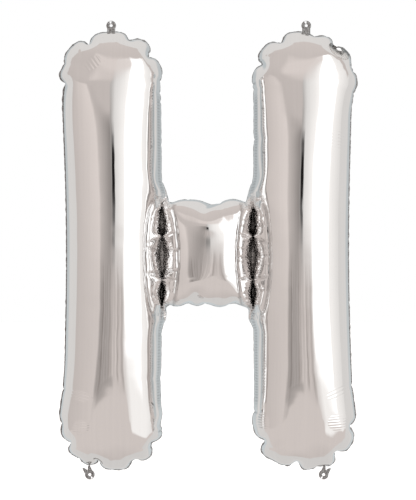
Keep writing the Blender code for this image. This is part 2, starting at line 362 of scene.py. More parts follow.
def grid_points(step):
    """Points inside the flat cut: finer at the round ends, and in rows that end each weld dash."""
    weld_x = CUT_SPACING / 2 - WELD_INSET
    centre = CUT_SPACING / 2
    edge = centre + CUT_UPRIGHT_WIDTH / 2
    top = CUT_CROSSBAR_Z + CUT_CROSSBAR_HEIGHT / 2
    bottom = CUT_CROSSBAR_Z - CUT_CROSSBAR_HEIGHT / 2
    end = CUT_LENGTH / 2
    bend = end - 1.15 * CUT_CAP_HEIGHT

    # Columns of the crossbar, with three that are welded, and columns of an upright
    bar = np.concatenate([
        graded_steps(0.0, weld_x - WELD_HALF_WIDTH, 1.1 * step, 0.7 * step),
        [weld_x, weld_x + WELD_HALF_WIDTH],
    ])
    bar = np.concatenate([-bar[:0:-1], bar])
    leg = np.concatenate([
        graded_steps(weld_x + WELD_HALF_WIDTH, centre, 0.7 * step, 1.3 * step)[1:-1],
        graded_steps(centre, edge, 1.3 * step, 0.8 * step),
    ])

    # Rows of the crossbar, one at each end and shoulder of a dash
    marks = {bottom, top}
    for dashes in WELD_DASHES.values():
        for low, high in dashes:
            marks.update((low, low + WELD_TIP, high - WELD_TIP, high))
    marks = sorted(marks)
    fine_rows = [bottom - 0.8 * step, bottom]
    for low, high in zip(marks[:-1], marks[1:]):
        if high - low > 0.001:
            fine_rows += list(graded_steps(low, high, 0.8 * step, 0.8 * step)[1:])
    fine_rows.append(top + 0.8 * step)

    rows = np.concatenate([
        graded_steps(0.0, bend, 1.0 * step, 1.2 * step)[:-1],
        graded_steps(bend, end, 1.2 * step, 0.8 * step),
    ])
    rows = np.concatenate([-rows[:0:-1], rows])
    points = [(x, z) for x in bar for z in fine_rows]
    points += [(x, z) for x in leg for z in rows]
    points += [(-x, z) for x in leg for z in rows]
    return np.array(points)


def cut_mesh(step, ring_step):
    """Flat points and faces of one panel, and which points lie on its outline."""
    ring = cut_outline(ring_step)
    fine_ring = cut_outline(0.003)
    tree = KDTree(len(fine_ring))
    for index, (x, z) in enumerate(fine_ring):
        tree.insert((x, 0.0, z), index)
    tree.balance()
    grid = grid_points(step)
    grid = grid[inside_cut(grid)]
    clear = [tree.find((x, 0.0, z))[2] > 0.55 * step for x, z in grid]
    points = [Vector(p) for p in np.vstack([ring, grid[clear]])]
    edges = [(i, (i + 1) % len(ring)) for i in range(len(ring))]
    flat, _, triangles, sources, _, _ = delaunay_2d_cdt(points, edges, [], 1, 1e-6)
    on_ring = np.array([any(k < len(ring) for k in source) for source in sources])

    bm = bmesh.new()
    corners = [bm.verts.new((p.x, 0.0, p.y)) for p in flat]
    for triangle in triangles:
        bm.faces.new([corners[i] for i in triangle])
    bm.verts.index_update()
    bmesh.ops.join_triangles(
        bm, faces=bm.faces, angle_face_threshold=math.pi, angle_shape_threshold=math.radians(35)
    )
    bm.normal_update()
    faces = []
    for face in bm.faces:
        loop = [corner.index for corner in face.verts]
        faces.append(loop if face.normal.y < 0 else loop[::-1])
    bm.free()
    return np.array([tuple(p) for p in flat]), faces, on_ring


def welded_points(flat, on_ring):
    """Which points of the flat cut are welded to the other panel along a junction dash."""
    welded = np.zeros(len(flat), bool)
    weld_x = CUT_SPACING / 2 - WELD_INSET
    for side, dashes in WELD_DASHES.items():
        offset = np.abs((1 if side == "right" else -1) * flat[:, 0] - weld_x)
        for low, high in dashes:
            whole = (flat[:, 1] > low + 0.9 * WELD_TIP) & (flat[:, 1] < high - 0.9 * WELD_TIP)
            tip = (flat[:, 1] > low - 1e-4) & (flat[:, 1] < high + 1e-4)
            welded |= (offset < 1.1 * WELD_HALF_WIDTH) & whole
            welded |= (offset < 0.1 * WELD_HALF_WIDTH) & tip
    return welded & ~on_ring


def start_shape(flat):
    """The inflated letter that the flat points start from: two round tubes and a pillow between them."""
    x = np.abs(flat[:, 0])
    z = flat[:, 1]
    side = np.where(flat[:, 0] >= 0, 1.0, -1.0)
    up = np.where(z >= 0, 1.0, -1.0)
    half_width = CUT_UPRIGHT_WIDTH / 2
    shoulder = CUT_LENGTH / 2 - CUT_CAP_HEIGHT
    straight = BODY_HALF_HEIGHT - CAP_HEIGHT
    offset = x - CUT_SPACING / 2

    # Tube and round ends
    across = offset / half_width
    rise = (np.abs(z) - shoulder).clip(0) / CUT_CAP_HEIGHT
    reach = (np.abs(across) ** CUT_CAP_SQUARENESS + rise ** CUT_CAP_SQUARENESS) ** (1 / CUT_CAP_SQUARENESS)
    turn = np.minimum(reach, 1.0) * math.pi / 2
    bearing = np.arctan2(rise, np.abs(across))
    round_tube = np.sin(np.abs(across).clip(0, 1) * math.pi / 2)
    sweep = np.where(rise > 0, np.sin(turn) * np.cos(bearing), round_tube)
    depth = np.where(rise > 0, UPRIGHT_RADIUS * np.cos(turn), UPRIGHT_RADIUS * np.cos(across * math.pi / 2))
    out_x = UPRIGHT_X + UPRIGHT_RADIUS * np.copysign(sweep, offset)
    out_z = up * np.where(
        rise > 0, straight + CAP_HEIGHT * np.sin(turn) * np.sin(bearing), np.abs(z) * straight / shoulder
    )

    # Crossbar
    inner = CUT_SPACING / 2 - half_width
    share = x / inner
    level = (z - CUT_CROSSBAR_Z) / (CUT_CROSSBAR_HEIGHT / 2)
    on_bar = offset <= -half_width
    pull = np.where(on_bar, 1.0, (1 - (offset + half_width) / half_width).clip(0))
    level_in = level.clip(-1, 1)
    flat_z = CUT_CROSSBAR_Z + level_in * CUT_CROSSBAR_HEIGHT / 2
    bar_z = CUT_CROSSBAR_Z + level_in * CROSSBAR_HEIGHT / 2
    beyond = (np.abs(z - flat_z) / (shoulder - np.abs(flat_z))).clip(0, 1)
    out_z += pull * (bar_z - flat_z * straight / shoulder) * (1 - beyond)
    pillow = CROSSBAR_HALF_DEPTH * np.sqrt((1 - share ** 2).clip(0) * (1 - level_in ** 2))
    out_x = np.where(on_bar, share * WELD_X, out_x)
    depth = np.where(on_bar, pillow, depth)
    return np.stack([side * out_x, depth, out_z], 1)


def gather_lobes(start):
    """Draws the round ends in along their creases, so that the film gathers into the photographed lobes."""
    straight = BODY_HALF_HEIGHT - CAP_HEIGHT
    for (right, up), creases in LOBE_CREASES.items():
        near = (start[:, 0] * right > 0) & (start[:, 2] * up > straight - 0.05)
        across = start[near, 0] - right * UPRIGHT_X
        along = start[near, 2] - up * straight
        radius = np.hypot(across, along)
        bearing = np.degrees(np.arctan2(along, across))
        dent = crease_closeness(bearing, creases, LOBE_CREASE_WIDTH)
        outer = ((radius / CAP_HEIGHT - 0.3) / 0.7).clip(0)
        shrink = 1 - 2 * LOBE_CREASE_DEPTH / CAP_HEIGHT * dent * outer ** 2
        start[near, 0] = right * UPRIGHT_X + across * shrink
        start[near, 2] = up * straight + along * shrink


def select_only(made):
    bpy.ops.object.select_all(action="DESELECT")
    made.select_set(True)
    bpy.context.view_layer.objects.active = made


def shape_array(data, field, width=3):
    values = np.zeros(len(data) * width, np.float32)
    data.foreach_get(field, values)
    return values.reshape(-1, width)


FRONT, BACK, FRONT_LAND, BACK_LAND = range(4)


def welded_envelope():
    """Both panels as one mesh that shares its welded points, with the flat cut kept as a shape key."""
    flat, faces, on_ring = cut_mesh(FILM_STEP, RING_STEP)
    welded = welded_points(flat, on_ring)
    shared = on_ring | welded
    start = start_shape(flat)
    gather_lobes(start)

    draw = np.random.default_rng(FILM_SEED)
    uneven = draw.normal(0, FILM_UNEVENNESS, len(flat))
    free = np.where(~shared)[0]
    depth = np.where(shared, 0.0, start[:, 1] + uneven)
    front = np.stack([start[:, 0], -depth, start[:, 2]], 1)
    back = np.stack([start[free, 0], depth[free], start[free, 2]], 1)
    back_index = np.arange(len(flat))
    back_index[free] = len(flat) + np.arange(len(free))
    flat_points = np.stack([flat[:, 0], np.zeros(len(flat)), flat[:, 1]], 1)

    # A weld's land is laid twice with opposite diagonals, so that the pressure on it cancels out
    kept, front_land, back_land = [], [], []
    for face in faces:
        if welded[face].all():
            a, b, c, d = face if len(face) == 4 else (*face, face[-1])
            front_land += [(a, b, c)] + [(a, c, d)] * (len(face) == 4)
            back_land += [(d, b, a), (d, c, b)] if len(face) == 4 else [(c, b, a)]
        else:
            kept.append(face)
    front_faces = [tuple(face) for face in kept]
    back_faces = [tuple(int(back_index[i]) for i in reversed(face)) for face in kept]

    mesh = bpy.data.meshes.new("envelope")
    mesh.from_pydata(
        np.vstack([front, back]).tolist(), [], front_faces + back_faces + front_land + back_land
    )
    side = mesh.attributes.new("side", "INT", "FACE")
    side.data.foreach_set(
        "value",
        [FRONT] * len(front_faces) + [BACK] * len(back_faces)
        + [FRONT_LAND] * len(front_land) + [BACK_LAND] * len(back_land),
    )
    envelope = bpy.data.objects.new("envelope", mesh)
    bpy.context.scene.collection.objects.link(envelope)
    envelope.shape_key_add(name="Basis")
    cut = envelope.shape_key_add(name="flat")
    cut.data.foreach_set(
        "co", np.vstack([flat_points, flat_points[free]]).astype(np.float32).ravel()
    )
    return envelope


def inflate(envelope, frames, pressure, mass, compression, shear, bending):
    """Blows the envelope up. Its rest lengths go over to the flat cut's while it stands inflated."""
    cut = envelope.data.shape_keys.key_blocks["flat"]
    cut.value = 0.0
    cut.keyframe_insert("value", frame=1)
    cut.value = 1.0
    cut.keyframe_insert("value", frame=5)

    cloth = envelope.modifiers.new("film", "CLOTH")
    film = cloth.settings
    film.quality = 5
    film.mass = mass
    film.air_damping = 3.0
    film.tension_stiffness = 5.0
    film.compression_stiffness = compression
    film.shear_stiffness = shear
    film.bending_stiffness = bending
    film.tension_damping = 5.0
    film.compression_damping = 5.0
    film.shear_damping = 5.0
    film.bending_damping = 0.5
    film.use_pressure = True
    film.uniform_pressure_force = pressure
    film.effector_weights.gravity = 0.0
    film.use_dynamic_mesh = True
    cloth.collision_settings.use_collision = False
    cloth.point_cache.frame_start = 1
    cloth.point_cache.frame_end = frames

    scene = bpy.context.scene
    scene.frame_start = 1
    scene.frame_end = frames
    for step in range(1, frames + 1):
        scene.frame_set(step)
    shown = envelope.evaluated_get(bpy.context.evaluated_depsgraph_get())
    settled = shape_array(shown.data.vertices, "co")
    envelope.modifiers.remove(cloth)
    envelope.data.shape_keys.animation_data_clear()
    cut.value = 0.0
    envelope.data.shape_keys.key_blocks["Basis"].data.foreach_set("co", settled.ravel())
    envelope.data.vertices.foreach_set("co", settled.ravel())
    envelope.data.update()
    scene.frame_set(1)


def refine(envelope):
    """Halves the mesh of the film, in both of its shapes."""
    select_only(envelope)
    envelope.active_shape_key_index = 0
    bpy.ops.object.mode_set(mode="EDIT")
    bpy.ops.mesh.select_all(action="SELECT")
    bpy.ops.mesh.subdivide(number_cuts=1)
    bpy.ops.object.mode_set(mode="OBJECT")


def blown_up_film():
    """The welded panels after a coarse inflation, which finds the shape, and a fine one for the wrinkles."""
    envelope = welded_envelope()
    inflate(envelope, 30, pressure=20.0, mass=0.005, compression=1.0, shear=1.0, bending=0.03)
    refine(envelope)
    inflate(envelope, 20, pressure=40.0, mass=0.002, compression=1.0, shear=5.0, bending=0.02)
    return envelope


def relax(places, start, end, free, pulls, rounds):
    """Moves each point towards the mean of its neighbours, as far as it is free to."""
    count = np.bincount(start, minlength=len(places))
    free = free * (count > 0)[:, None]
    for _ in range(rounds):
        for pull in pulls:
            mean = np.stack([np.bincount(start, places[end, axis], len(places)) for axis in range(3)], 1)
            places += free * pull * (mean / count.clip(1)[:, None] - places)


def even_out(envelope):
    """Takes the shortest waves out of the film and straightens the long flanks; the welds stay."""
    mesh = envelope.data
    places = shape_array(mesh.vertices, "co").astype(float)
    flat = shape_array(mesh.shape_keys.key_blocks["flat"].data, "co")
    edges = np.zeros(len(mesh.edges) * 2, np.int32)
    mesh.edges.foreach_get("vertices", edges)
    edges = edges.reshape(-1, 2)
    side = np.zeros(len(mesh.polygons), np.int32)
    mesh.attributes["side"].data.foreach_get("value", side)
    corners = np.zeros(len(mesh.polygons), np.int32)
    mesh.polygons.foreach_get("loop_total", corners)
    loop_edges = np.zeros(len(mesh.loops), np.int32)
    mesh.loops.foreach_get("edge_index", loop_edges)
    seen = np.zeros(len(edges), np.int32)
    np.bitwise_or.at(seen, loop_edges, np.repeat(1 << side, corners))
    on_seam = seen == (1 << FRONT | 1 << BACK)
    seam_vertex = np.zeros(len(places), bool)
    seam_vertex[edges[on_seam].ravel()] = True

    # A seam point is evened out along the seam only, so that the edge stays sharp
    start = np.concatenate([edges[:, 0], edges[:, 1]])
    end = np.concatenate([edges[:, 1], edges[:, 0]])
    used = ~seam_vertex[start] | np.concatenate([on_seam, on_seam])
    start, end = start[used], end[used]
    aside = np.abs(np.abs(flat[:, 0]) - (CUT_SPACING / 2 - WELD_INSET))
    aloft = (np.abs(flat[:, 2] + 0.014) - 0.098).clip(0)
    free = ((np.hypot(aside, aloft) - EVEN_FROM) / EVEN_FADE).clip(0, 1)[:, None]
    relax(places, start, end, free, (EVEN_PULL, EVEN_PUSH), EVEN_ROUNDS)

    # Along the straight part of the uprights the film is averaged lengthwise only
    reach, height = np.abs(flat[:, 0]), np.abs(flat[:, 2])
    straight = ((FLANK_END - height) / 0.02).clip(0, 1)
    off_bar = np.maximum((reach - 0.20) / 0.03, (height - FLANK_START) / 0.03).clip(0, 1)
    lean = np.abs(flat[start] - flat[end])
    upright = lean[:, 2] > 2 * lean[:, 0]
    relax(places, start[upright], end[upright], (straight * off_bar)[:, None], (EVEN_PULL,), FLANK_ROUNDS)
    mesh.vertices.foreach_set("co", places.astype(np.float32).ravel())
    mesh.shape_keys.key_blocks["Basis"].data.foreach_set("co", places.astype(np.float32).ravel())
    mesh.update()


def cut_area():
    """Flat area of one panel's cut."""
    ring = cut_outline(RING_STEP)
    after = np.roll(ring, -1, axis=0)
    return abs(float((ring[:, 0] * after[:, 1] - ring[:, 1] * after[:, 0]).sum() / 2))


def faces_as_object(envelope, name, sides):
    """Some of the film's faces as an object of their own, with the flat cut as its UV map in metres."""
    points = shape_array(envelope.data.vertices, "co")
    flat = shape_array(envelope.data.shape_keys.key_blocks["flat"].data, "co")
    side = np.zeros(len(envelope.data.polygons), np.int32)
    envelope.data.attributes["side"].data.foreach_get("value", side)
    faces = [tuple(f.vertices) for f, s in zip(envelope.data.polygons, side) if s in sides]
    used = np.unique(np.concatenate([np.array(f) for f in faces]))
    place = np.full(len(points), -1)
    place[used] = np.arange(len(used))
    mesh = bpy.data.meshes.new(name)
    mesh.from_pydata(points[used].tolist(), [], [tuple(int(place[i]) for i in f) for f in faces])
    mesh.validate()
    mesh.shade_smooth()
    corner = np.zeros(len(mesh.loops), np.int32)
    mesh.loops.foreach_get("vertex_index", corner)
    cut = mesh.uv_layers.new(name="cut")
    cut.data.foreach_set("uv", flat[used][corner][:, [0, 2]].astype(np.float32).ravel())
    made = bpy.data.objects.new(name, mesh)
    bpy.context.scene.collection.objects.link(made)
    return made


def apply_modifiers(made):
    select_only(made)
    for modifier in list(made.modifiers):
        bpy.ops.object.modifier_apply(modifier=modifier.name)


def smooth_surface(made, levels=1):
    """Rounds the film between its points."""
    surface = made.modifiers.new("smooth", "SUBSURF")
    surface.levels = surface.render_levels = levels
    surface.boundary_smooth = "ALL"
    surface.uv_smooth = "PRESERVE_BOUNDARIES"
    apply_modifiers(made)




def edge_loops(mesh):
    """Closed lines of edges that have one face, the longest first, each as vertex numbers in order."""
    bm = bmesh.new()
    bm.from_mesh(mesh)
    open_edges = {edge for edge in bm.edges if edge.is_boundary}
    loops = []
    while open_edges:
        edge = min(open_edges, key=lambda e: e.index)
        start = here = edge.verts[0]
        loop, length = [], 0.0
        while edge is not None:
            open_edges.discard(edge)
            loop.append(here.index)
            length += edge.calc_length()
            here = edge.other_vert(here)
            edge = next((e for e in here.link_edges if e in open_edges), None)
        loops.append((length, loop))
    bm.free()
    return [loop for _, loop in sorted(loops, reverse=True)]


def smoothed(points, reach):
    """A closed line of points, each averaged with its neighbours out to reach on both sides."""
    return sum(np.roll(points, shift, axis=0) for shift in range(-reach, reach + 1)) / (2 * reach + 1)


def ripple(run, wavelength, phase):
    """Smooth unevenness from -1 to 1 along a line."""
    return np.array([noise.noise(Vector((s / wavelength, phase, 0.0))) for s in run]) * 2


def seam_band(seam):
    """The heat-sealed edge: both films flat against each other in a narrow, slightly fluted band."""
    points, run, out = seam

    # In the notches the band lies back behind the tubes, and round the outside it stands out
    inner = (1 - ((np.abs(points[:, 0]) - 0.125) / 0.02).clip(0, 1)) * (
        1 - ((np.abs(points[:, 2]) - 0.33) / 0.03).clip(0, 1)
    )
    on_cap = ((np.abs(points[:, 2]) - 0.335) / 0.03).clip(0, 1)
    bend = np.radians(SEAM_NOTCH_BEND) * smoothed(inner, 6) + np.radians(SEAM_CAP_BEND) * on_cap
    flute = 0.35 * ripple(run, 0.011, 2.0) + 0.15 * ripple(run, 0.004, 7.0)
    away = out * np.cos(bend + flute)[:, None] + np.array([0.0, 1.0, 0.0]) * np.sin(bend + flute)[:, None]
    width = SEAM_BAND_WIDTH * (1 + 0.25 * ripple(run, 0.009, 4.0)) * (1 - 0.6 * smoothed(inner, 6))

    count = len(points)
    mesh = bpy.data.meshes.new("perimeter_seam_band")
    inside = points - out * SEAM_OVERLAP
    mesh.from_pydata(inside.tolist(), [(i, (i + 1) % count) for i in range(count)], [])
    made = bpy.data.objects.new("perimeter_seam_band", mesh)
    bpy.context.scene.collection.objects.link(made)
    select_only(made)
    for row in range(1, SEAM_BAND_ROWS + 1):
        bpy.ops.object.mode_set(mode="EDIT")
        bpy.ops.mesh.select_all(action="DESELECT")
        bpy.ops.object.mode_set(mode="OBJECT")
        for index in range(count * (row - 1), count * row):
            made.data.vertices[index].select = True
        for edge in made.data.edges:
            edge.select = all(v // count == row - 1 for v in edge.vertices)
        bpy.ops.object.mode_set(mode="EDIT")
        bpy.ops.mesh.extrude_edges_move()
        bpy.ops.object.mode_set(mode="OBJECT")
        places = shape_array(made.data.vertices, "co")
        places[count * row:] = points + away * (width * row / SEAM_BAND_ROWS)[:, None]
        made.data.vertices.foreach_set("co", places.ravel())
    made.data.update()
    thicken(made, FILM_THICKNESS)
    return made


def thicken(made, thickness):
    """Gives an open piece of film its thickness, half to each side."""
    wall = made.modifiers.new("film", "SOLIDIFY")
    wall.thickness = thickness
    wall.offset = 0.0
    apply_modifiers(made)
    made.data.shade_smooth()


def seam_line(front):
    """The panel's outer edge as points in order, with the run along it and the way out of the balloon."""
    loop = edge_loops(front.data)[0]
    points = shape_array(front.data.vertices, "co")[loop].astype(float)
    if (points[:, 0] * np.roll(points[:, 2], -1) - np.roll(points[:, 0], -1) * points[:, 2]).sum() < 0:
        points = points[::-1]
    steps = np.linalg.norm(np.roll(points, -1, axis=0) - points, axis=1)
    run = np.concatenate([[0.0], np.cumsum(steps)[:-1]])
    soft = smoothed(points, 3)
    along = np.roll(soft, -1, axis=0) - np.roll(soft, 1, axis=0)
    out = np.stack([along[:, 2], np.zeros(len(points)), -along[:, 0]], 1)
    out /= np.linalg.norm(out, axis=1)[:, None]
    return points, run, out


def nearest_of(points, places):
    """The number of the nearest point to each place, and how far away it is."""
    tree = KDTree(len(points))
    for index, point in enumerate(points):
        tree.insert(point, index)
    tree.balance()
    found = [tree.find(place)[1:] for place in places]
    return np.array([index for index, _ in found]), np.array([distance for _, distance in found])


def crease_marks(points):
    """Where along the seam each short crease starts, with its length and depth: lobes first, then pinches."""
    straight = BODY_HALF_HEIGHT - CAP_HEIGHT
    marks = []
    for (right, up), creases in LOBE_CREASES.items():
        centre = np.array([right * UPRIGHT_X, up * straight])
        spoke = points[:, (0, 2)] - centre
        radius = np.hypot(*spoke.T)
        bearing = np.degrees(np.arctan2(spoke[:, 1], spoke[:, 0]))
        for crease in creases:
            apart = np.abs((bearing - crease + 180) % 360 - 180)
            nearby = np.where((apart < LOBE_CREASE_WANDER) & (radius < 0.16))[0]
            marks.append((nearby[np.argmin(radius[nearby])], LOBE_CREASE_LENGTH, LOBE_GROOVE_DEPTH))
    starts = nearest_of(points, [(x, 0.0, z) for x, z, _, _ in SEAM_PINCHES])[0]
    return marks + [(start, length, depth) for start, (_, _, length, depth) in zip(starts, SEAM_PINCHES)]


def cleft_width(height):
    """Half the width of the pointed clefts over the welds, which the material darkens with painted shade."""
    width = np.zeros(len(height))
    for low, high, widest, half in JUNCTION_CLEFTS:
        share = np.where(height < widest, (height - low) / (widest - low), (high - height) / (high - widest))
        width = np.maximum(width, half * share.clip(0, 1) ** 0.8)
    return width


def draw_in(places):
    """Draws the film together beside the welds, so that it opens only over the dashes."""
    beside = np.abs(places[:, 0]) - WELD_X
    level = np.abs(places[:, 2] - BEADS_MIDDLE)
    ends = ((BEADS_HALF_HEIGHT - level) / 0.015).clip(0, 1)
    nearness = (1 - np.abs(beside) / CLEFT_REACH).clip(0, 1)
    nearness = nearness * nearness * (3 - 2 * nearness)
    opening = ((cleft_width(places[:, 2]) + CLEFT_SHUT) / CLEFT_OPEN).clip(0, 1)
    factor = 1 - nearness * (1 - opening) * ends
    places[:, 0] = np.sign(places[:, 0]) * (WELD_X + beside * factor)
    return ends


def shape_junctions(places):
    """Puffed, pinched beads beside the welds, and lifted folds between; gives painted shade for the folds and
    pinches, and for the dark clefts over the welds.
    """
    facing = np.sign(places[:, 1].mean())
    ends = draw_in(places)
    height = places[:, 2]
    beside = np.abs(places[:, 0]) - WELD_X + 0.0010 * ripple(height, 0.020, 5.0)
    level = np.abs(height - BEADS_MIDDLE)
    cleft = cleft_width(height)
    swell = np.sqrt((1 - (level / (BEADS_HALF_HEIGHT * 1.2)) ** 2).clip(0, 1))
    edge = np.where(beside < 0, WELD_X - BEADS_FROM, BEADS_TO - WELD_X) * swell.clip(0.3, 1)
    across = ((np.abs(beside) - cleft) / (edge - cleft)).clip(0, 1)
    pinch = np.zeros(len(places))
    for right, at, strength, tilt in WELD_PINCHES:
        apart = height - at - tilt * beside
        near = strength * np.exp(-((apart / WELD_PINCH_WIDTH) ** 2)) * (places[:, 0] * right > 0)
        pinch = np.maximum(pinch, near)
    puff = BEAD_RISE * (4 * across * (1 - across)) ** 0.8 * (1 - 0.75 * pinch) * ends
    fold = np.exp(-(((np.abs(beside) - edge) / BEAD_FOLD_WIDTH) ** 2)) * ends
    lift = np.zeros(len(places))
    for at in JUNCTION_BRIDGES:
        saddle = (1 - np.abs(beside) / 0.012).clip(0, 1)
        lift = np.maximum(lift, BRIDGE_LIFT * saddle * np.exp(-(((height - at) / BRIDGE_HALF_HEIGHT) ** 2)))
    corner = np.exp(-((beside / 0.016) ** 2)) * np.exp(-(((level - BEADS_HALF_HEIGHT) / 0.016) ** 2))
    rough = np.array([noise.noise(Vector(p) * 130.0) if c > 0.02 else 0.0 for p, c in zip(places, corner)])
    places[:, 1] += facing * (puff + lift - BEAD_FOLD_DEPTH * fold + CORNER_CRUMPLE * corner * rough)

    # Painted shade in the clefts over the welds, with a lighter core in the middle cleft
    cleft_shade = ((cleft - np.abs(beside)) / 0.0012).clip(0, 1) * (cleft > 0.0006)
    core = ((0.7 * cleft - np.abs(beside)) / 0.0012).clip(0, 1) * ((0.006 - height) / 0.008).clip(0, 1)
    core *= ((height + 0.046) / 0.006).clip(0, 1)
    inside = (across > 0) & (across < 1)
    # Painted shade in the folds round the beads and in the pinches across them
    folds = np.maximum(BEAD_FOLD_SHADE * fold, BEAD_PINCH_SHADE * pinch * inside * ends)
    return folds, cleft_shade * (1 - 0.85 * core)


def press_creases(piece, seam, lands):
    """Presses the sharp creases into a panel and keeps, for its material, how near each point is to them and
    the painted shade along them, in the bead folds and pinches and in the clefts over the welds.
    """
    points, run, out = seam
    mesh = piece.data
    places = shape_array(mesh.vertices, "co").astype(float)
    normals = shape_array(mesh.vertices, "normal").astype(float)
    nearest, distance = nearest_of(points, places)
    along = run[nearest]
    total = run[-1]

    groove = np.zeros(len(places))
    valley = np.zeros(len(places))
    shade = np.zeros(len(places))
    for start, length, depth in crease_marks(points):
        apart = (along - run[start] + total / 2) % total - total / 2
        reach = (1 - distance / length).clip(0)
        groove = np.maximum(groove, depth * np.exp(-((apart / GROOVE_WIDTH) ** 2)) * reach ** 1.5)
        # Painted shade along the crease, darker the deeper the crease
        line = np.exp(-((apart / GROOVE_SHADE_WIDTH) ** 2)) * reach
        shade = np.maximum(shade, line * depth / CREASE_FULL_DEPTH)
        if length == LOBE_CREASE_LENGTH:
            cusp = (1 - np.abs(apart) / VALLEY_WIDTH).clip(0) ** 2
            valley = np.maximum(valley, VALLEY_DEPTH * cusp * (1 - distance / VALLEY_LENGTH).clip(0))
    groove += valley
    height = np.abs(places[:, 2])
    # Inner flanks by the crossbar, which get fine beads and painted shade in the material
    flank = ((distance - 0.010) / 0.006).clip(0, 1) * ((0.036 - distance) / 0.006).clip(0, 1)
    flank *= ((0.31 - height) / 0.02).clip(0, 1) * ((height - 0.10) / 0.02).clip(0, 1)
    flank *= np.abs(places[:, 0]) < 0.15
    outward = (1 - distance / 0.008).clip(0, 1)[:, None]
    way = out[nearest] * outward + normals * (1 - outward)
    places -= way * groove[:, None]

    weld_distance = nearest_of(shape_array(lands.data.vertices, "co"), places)[1]
    folds, cleft_shade = shape_junctions(places)
    # The painted shade of the bead folds and pinches joins the crease shade
    shade = np.maximum(shade, folds)
    mesh.vertices.foreach_set("co", places.astype(np.float32).ravel())
    mesh.update()

    # The crease attribute is painted shade for the material, and cleft_shade is painted shade in the clefts
    # over the welds
    for name, values in (
        ("seam_distance", distance), ("seam_run", along), ("crease", shade), ("weld_distance", weld_distance),
        ("flank", flank), ("cleft_shade", cleft_shade),
    ):
        mesh.attributes.new(name, "FLOAT", "POINT").data.foreach_set("value", values.astype(np.float32))


def weld_strips(lands):
    """The welded dashes, each a piece of its own; the left middle one is broken into two."""
    select_only(lands)
    bpy.ops.object.mode_set(mode="EDIT")
    bpy.ops.mesh.select_all(action="SELECT")
    bpy.ops.mesh.separate(type="LOOSE")
    bpy.ops.object.mode_set(mode="OBJECT")
    groups = {}
    for strip in list(bpy.context.selected_objects):
        x, _, z = shape_array(strip.data.vertices, "co").mean(axis=0)
        side = "left" if x < 0 else "right"
        height = "upper" if z > WELD_UPPER_FROM else "lower" if z < WELD_LOWER_FROM else "middle"
        groups.setdefault(f"{side}_junction_weld_{height}", []).append(strip)
    strips = {}
    for node, parts in sorted(groups.items()):
        select_only(parts[0])
        for part in parts[1:]:
            part.select_set(True)
        if len(parts) > 1:
            bpy.ops.object.join()
        parts[0].name = f"{node}_strip"
        parts[0].data.name = parts[0].name
        thicken(parts[0], FILM_THICKNESS)
        strips[node] = parts[0]
    return strips


def hanging_tab(name, x, z, lean, vent_side, root_notch):
    """A round tab of the two films sealed together: an eyelet, a small vent at its end, and a forked neck."""
    bpy.ops.object.select_all(action="DESELECT")
    bpy.ops.mesh.primitive_circle_add(vertices=TAB_SEGMENTS, radius=TAB_RADIUS, fill_type="NGON")
    made = bpy.context.object
    made.name = made.data.name = name
    bpy.ops.object.mode_set(mode="EDIT")
    bpy.ops.mesh.select_all(action="SELECT")
    bpy.ops.mesh.inset(thickness=TAB_RADIUS - TAB_HOLE_RADIUS)
    bpy.ops.mesh.delete(type="FACE")
    bpy.ops.object.mode_set(mode="OBJECT")

    # Vent at the far end from the neck
    mesh = made.data
    for face in mesh.polygons:
        bearing = math.degrees(math.atan2(face.center.y, face.center.x)) - vent_side
        face.select = abs(bearing - 90) < 360 / TAB_SEGMENTS * 1.6
    bpy.ops.object.mode_set(mode="EDIT")
    bpy.ops.mesh.select_mode(type="FACE")
    bpy.ops.mesh.inset(thickness=TAB_VENT_RIM)
    bpy.ops.mesh.delete(type="FACE")
    bpy.ops.mesh.select_mode(type="EDGE")
    bpy.ops.mesh.select_all(action="DESELECT")
    bpy.ops.object.mode_set(mode="OBJECT")

    # Neck, drawn out of the lower rim
    rim = TAB_RADIUS * 0.99
    for vertex in mesh.vertices:
        vertex.select = vertex.co.length > rim and vertex.co.y < 0 and abs(vertex.co.x) < TAB_NECK_HALF_WIDTH
    for edge in mesh.edges:
        edge.select = all(mesh.vertices[v].select for v in edge.vertices)
    bpy.ops.object.mode_set(mode="EDIT")
    bpy.ops.mesh.extrude_edges_move()
    bpy.ops.object.mode_set(mode="OBJECT")
    for vertex in mesh.vertices:
        if vertex.select:
            middle = 1 - min(1.0, abs(vertex.co.x) / (TAB_NECK_HALF_WIDTH * 0.55))
            vertex.co.y = -TAB_NECK_LENGTH + root_notch * middle
    bpy.ops.object.mode_set(mode="EDIT")
    bpy.ops.mesh.select_all(action="SELECT")
    bpy.ops.mesh.subdivide(number_cuts=2)
    bpy.ops.object.mode_set(mode="OBJECT")
    for vertex in mesh.vertices:
        vertex.co.z = TAB_WAVE * noise.noise(vertex.co * 230.0 + Vector((x, z, 0.0)) * 40.0)
    thicken(made, TAB_THICKNESS)
    turn = Matrix.Rotation(math.radians(lean), 4, "Y") @ Matrix.Rotation(math.radians(90), 4, "X")
    mesh.transform(Matrix.Translation((x, 0.0, z)) @ turn)
    mesh.update()
    return made


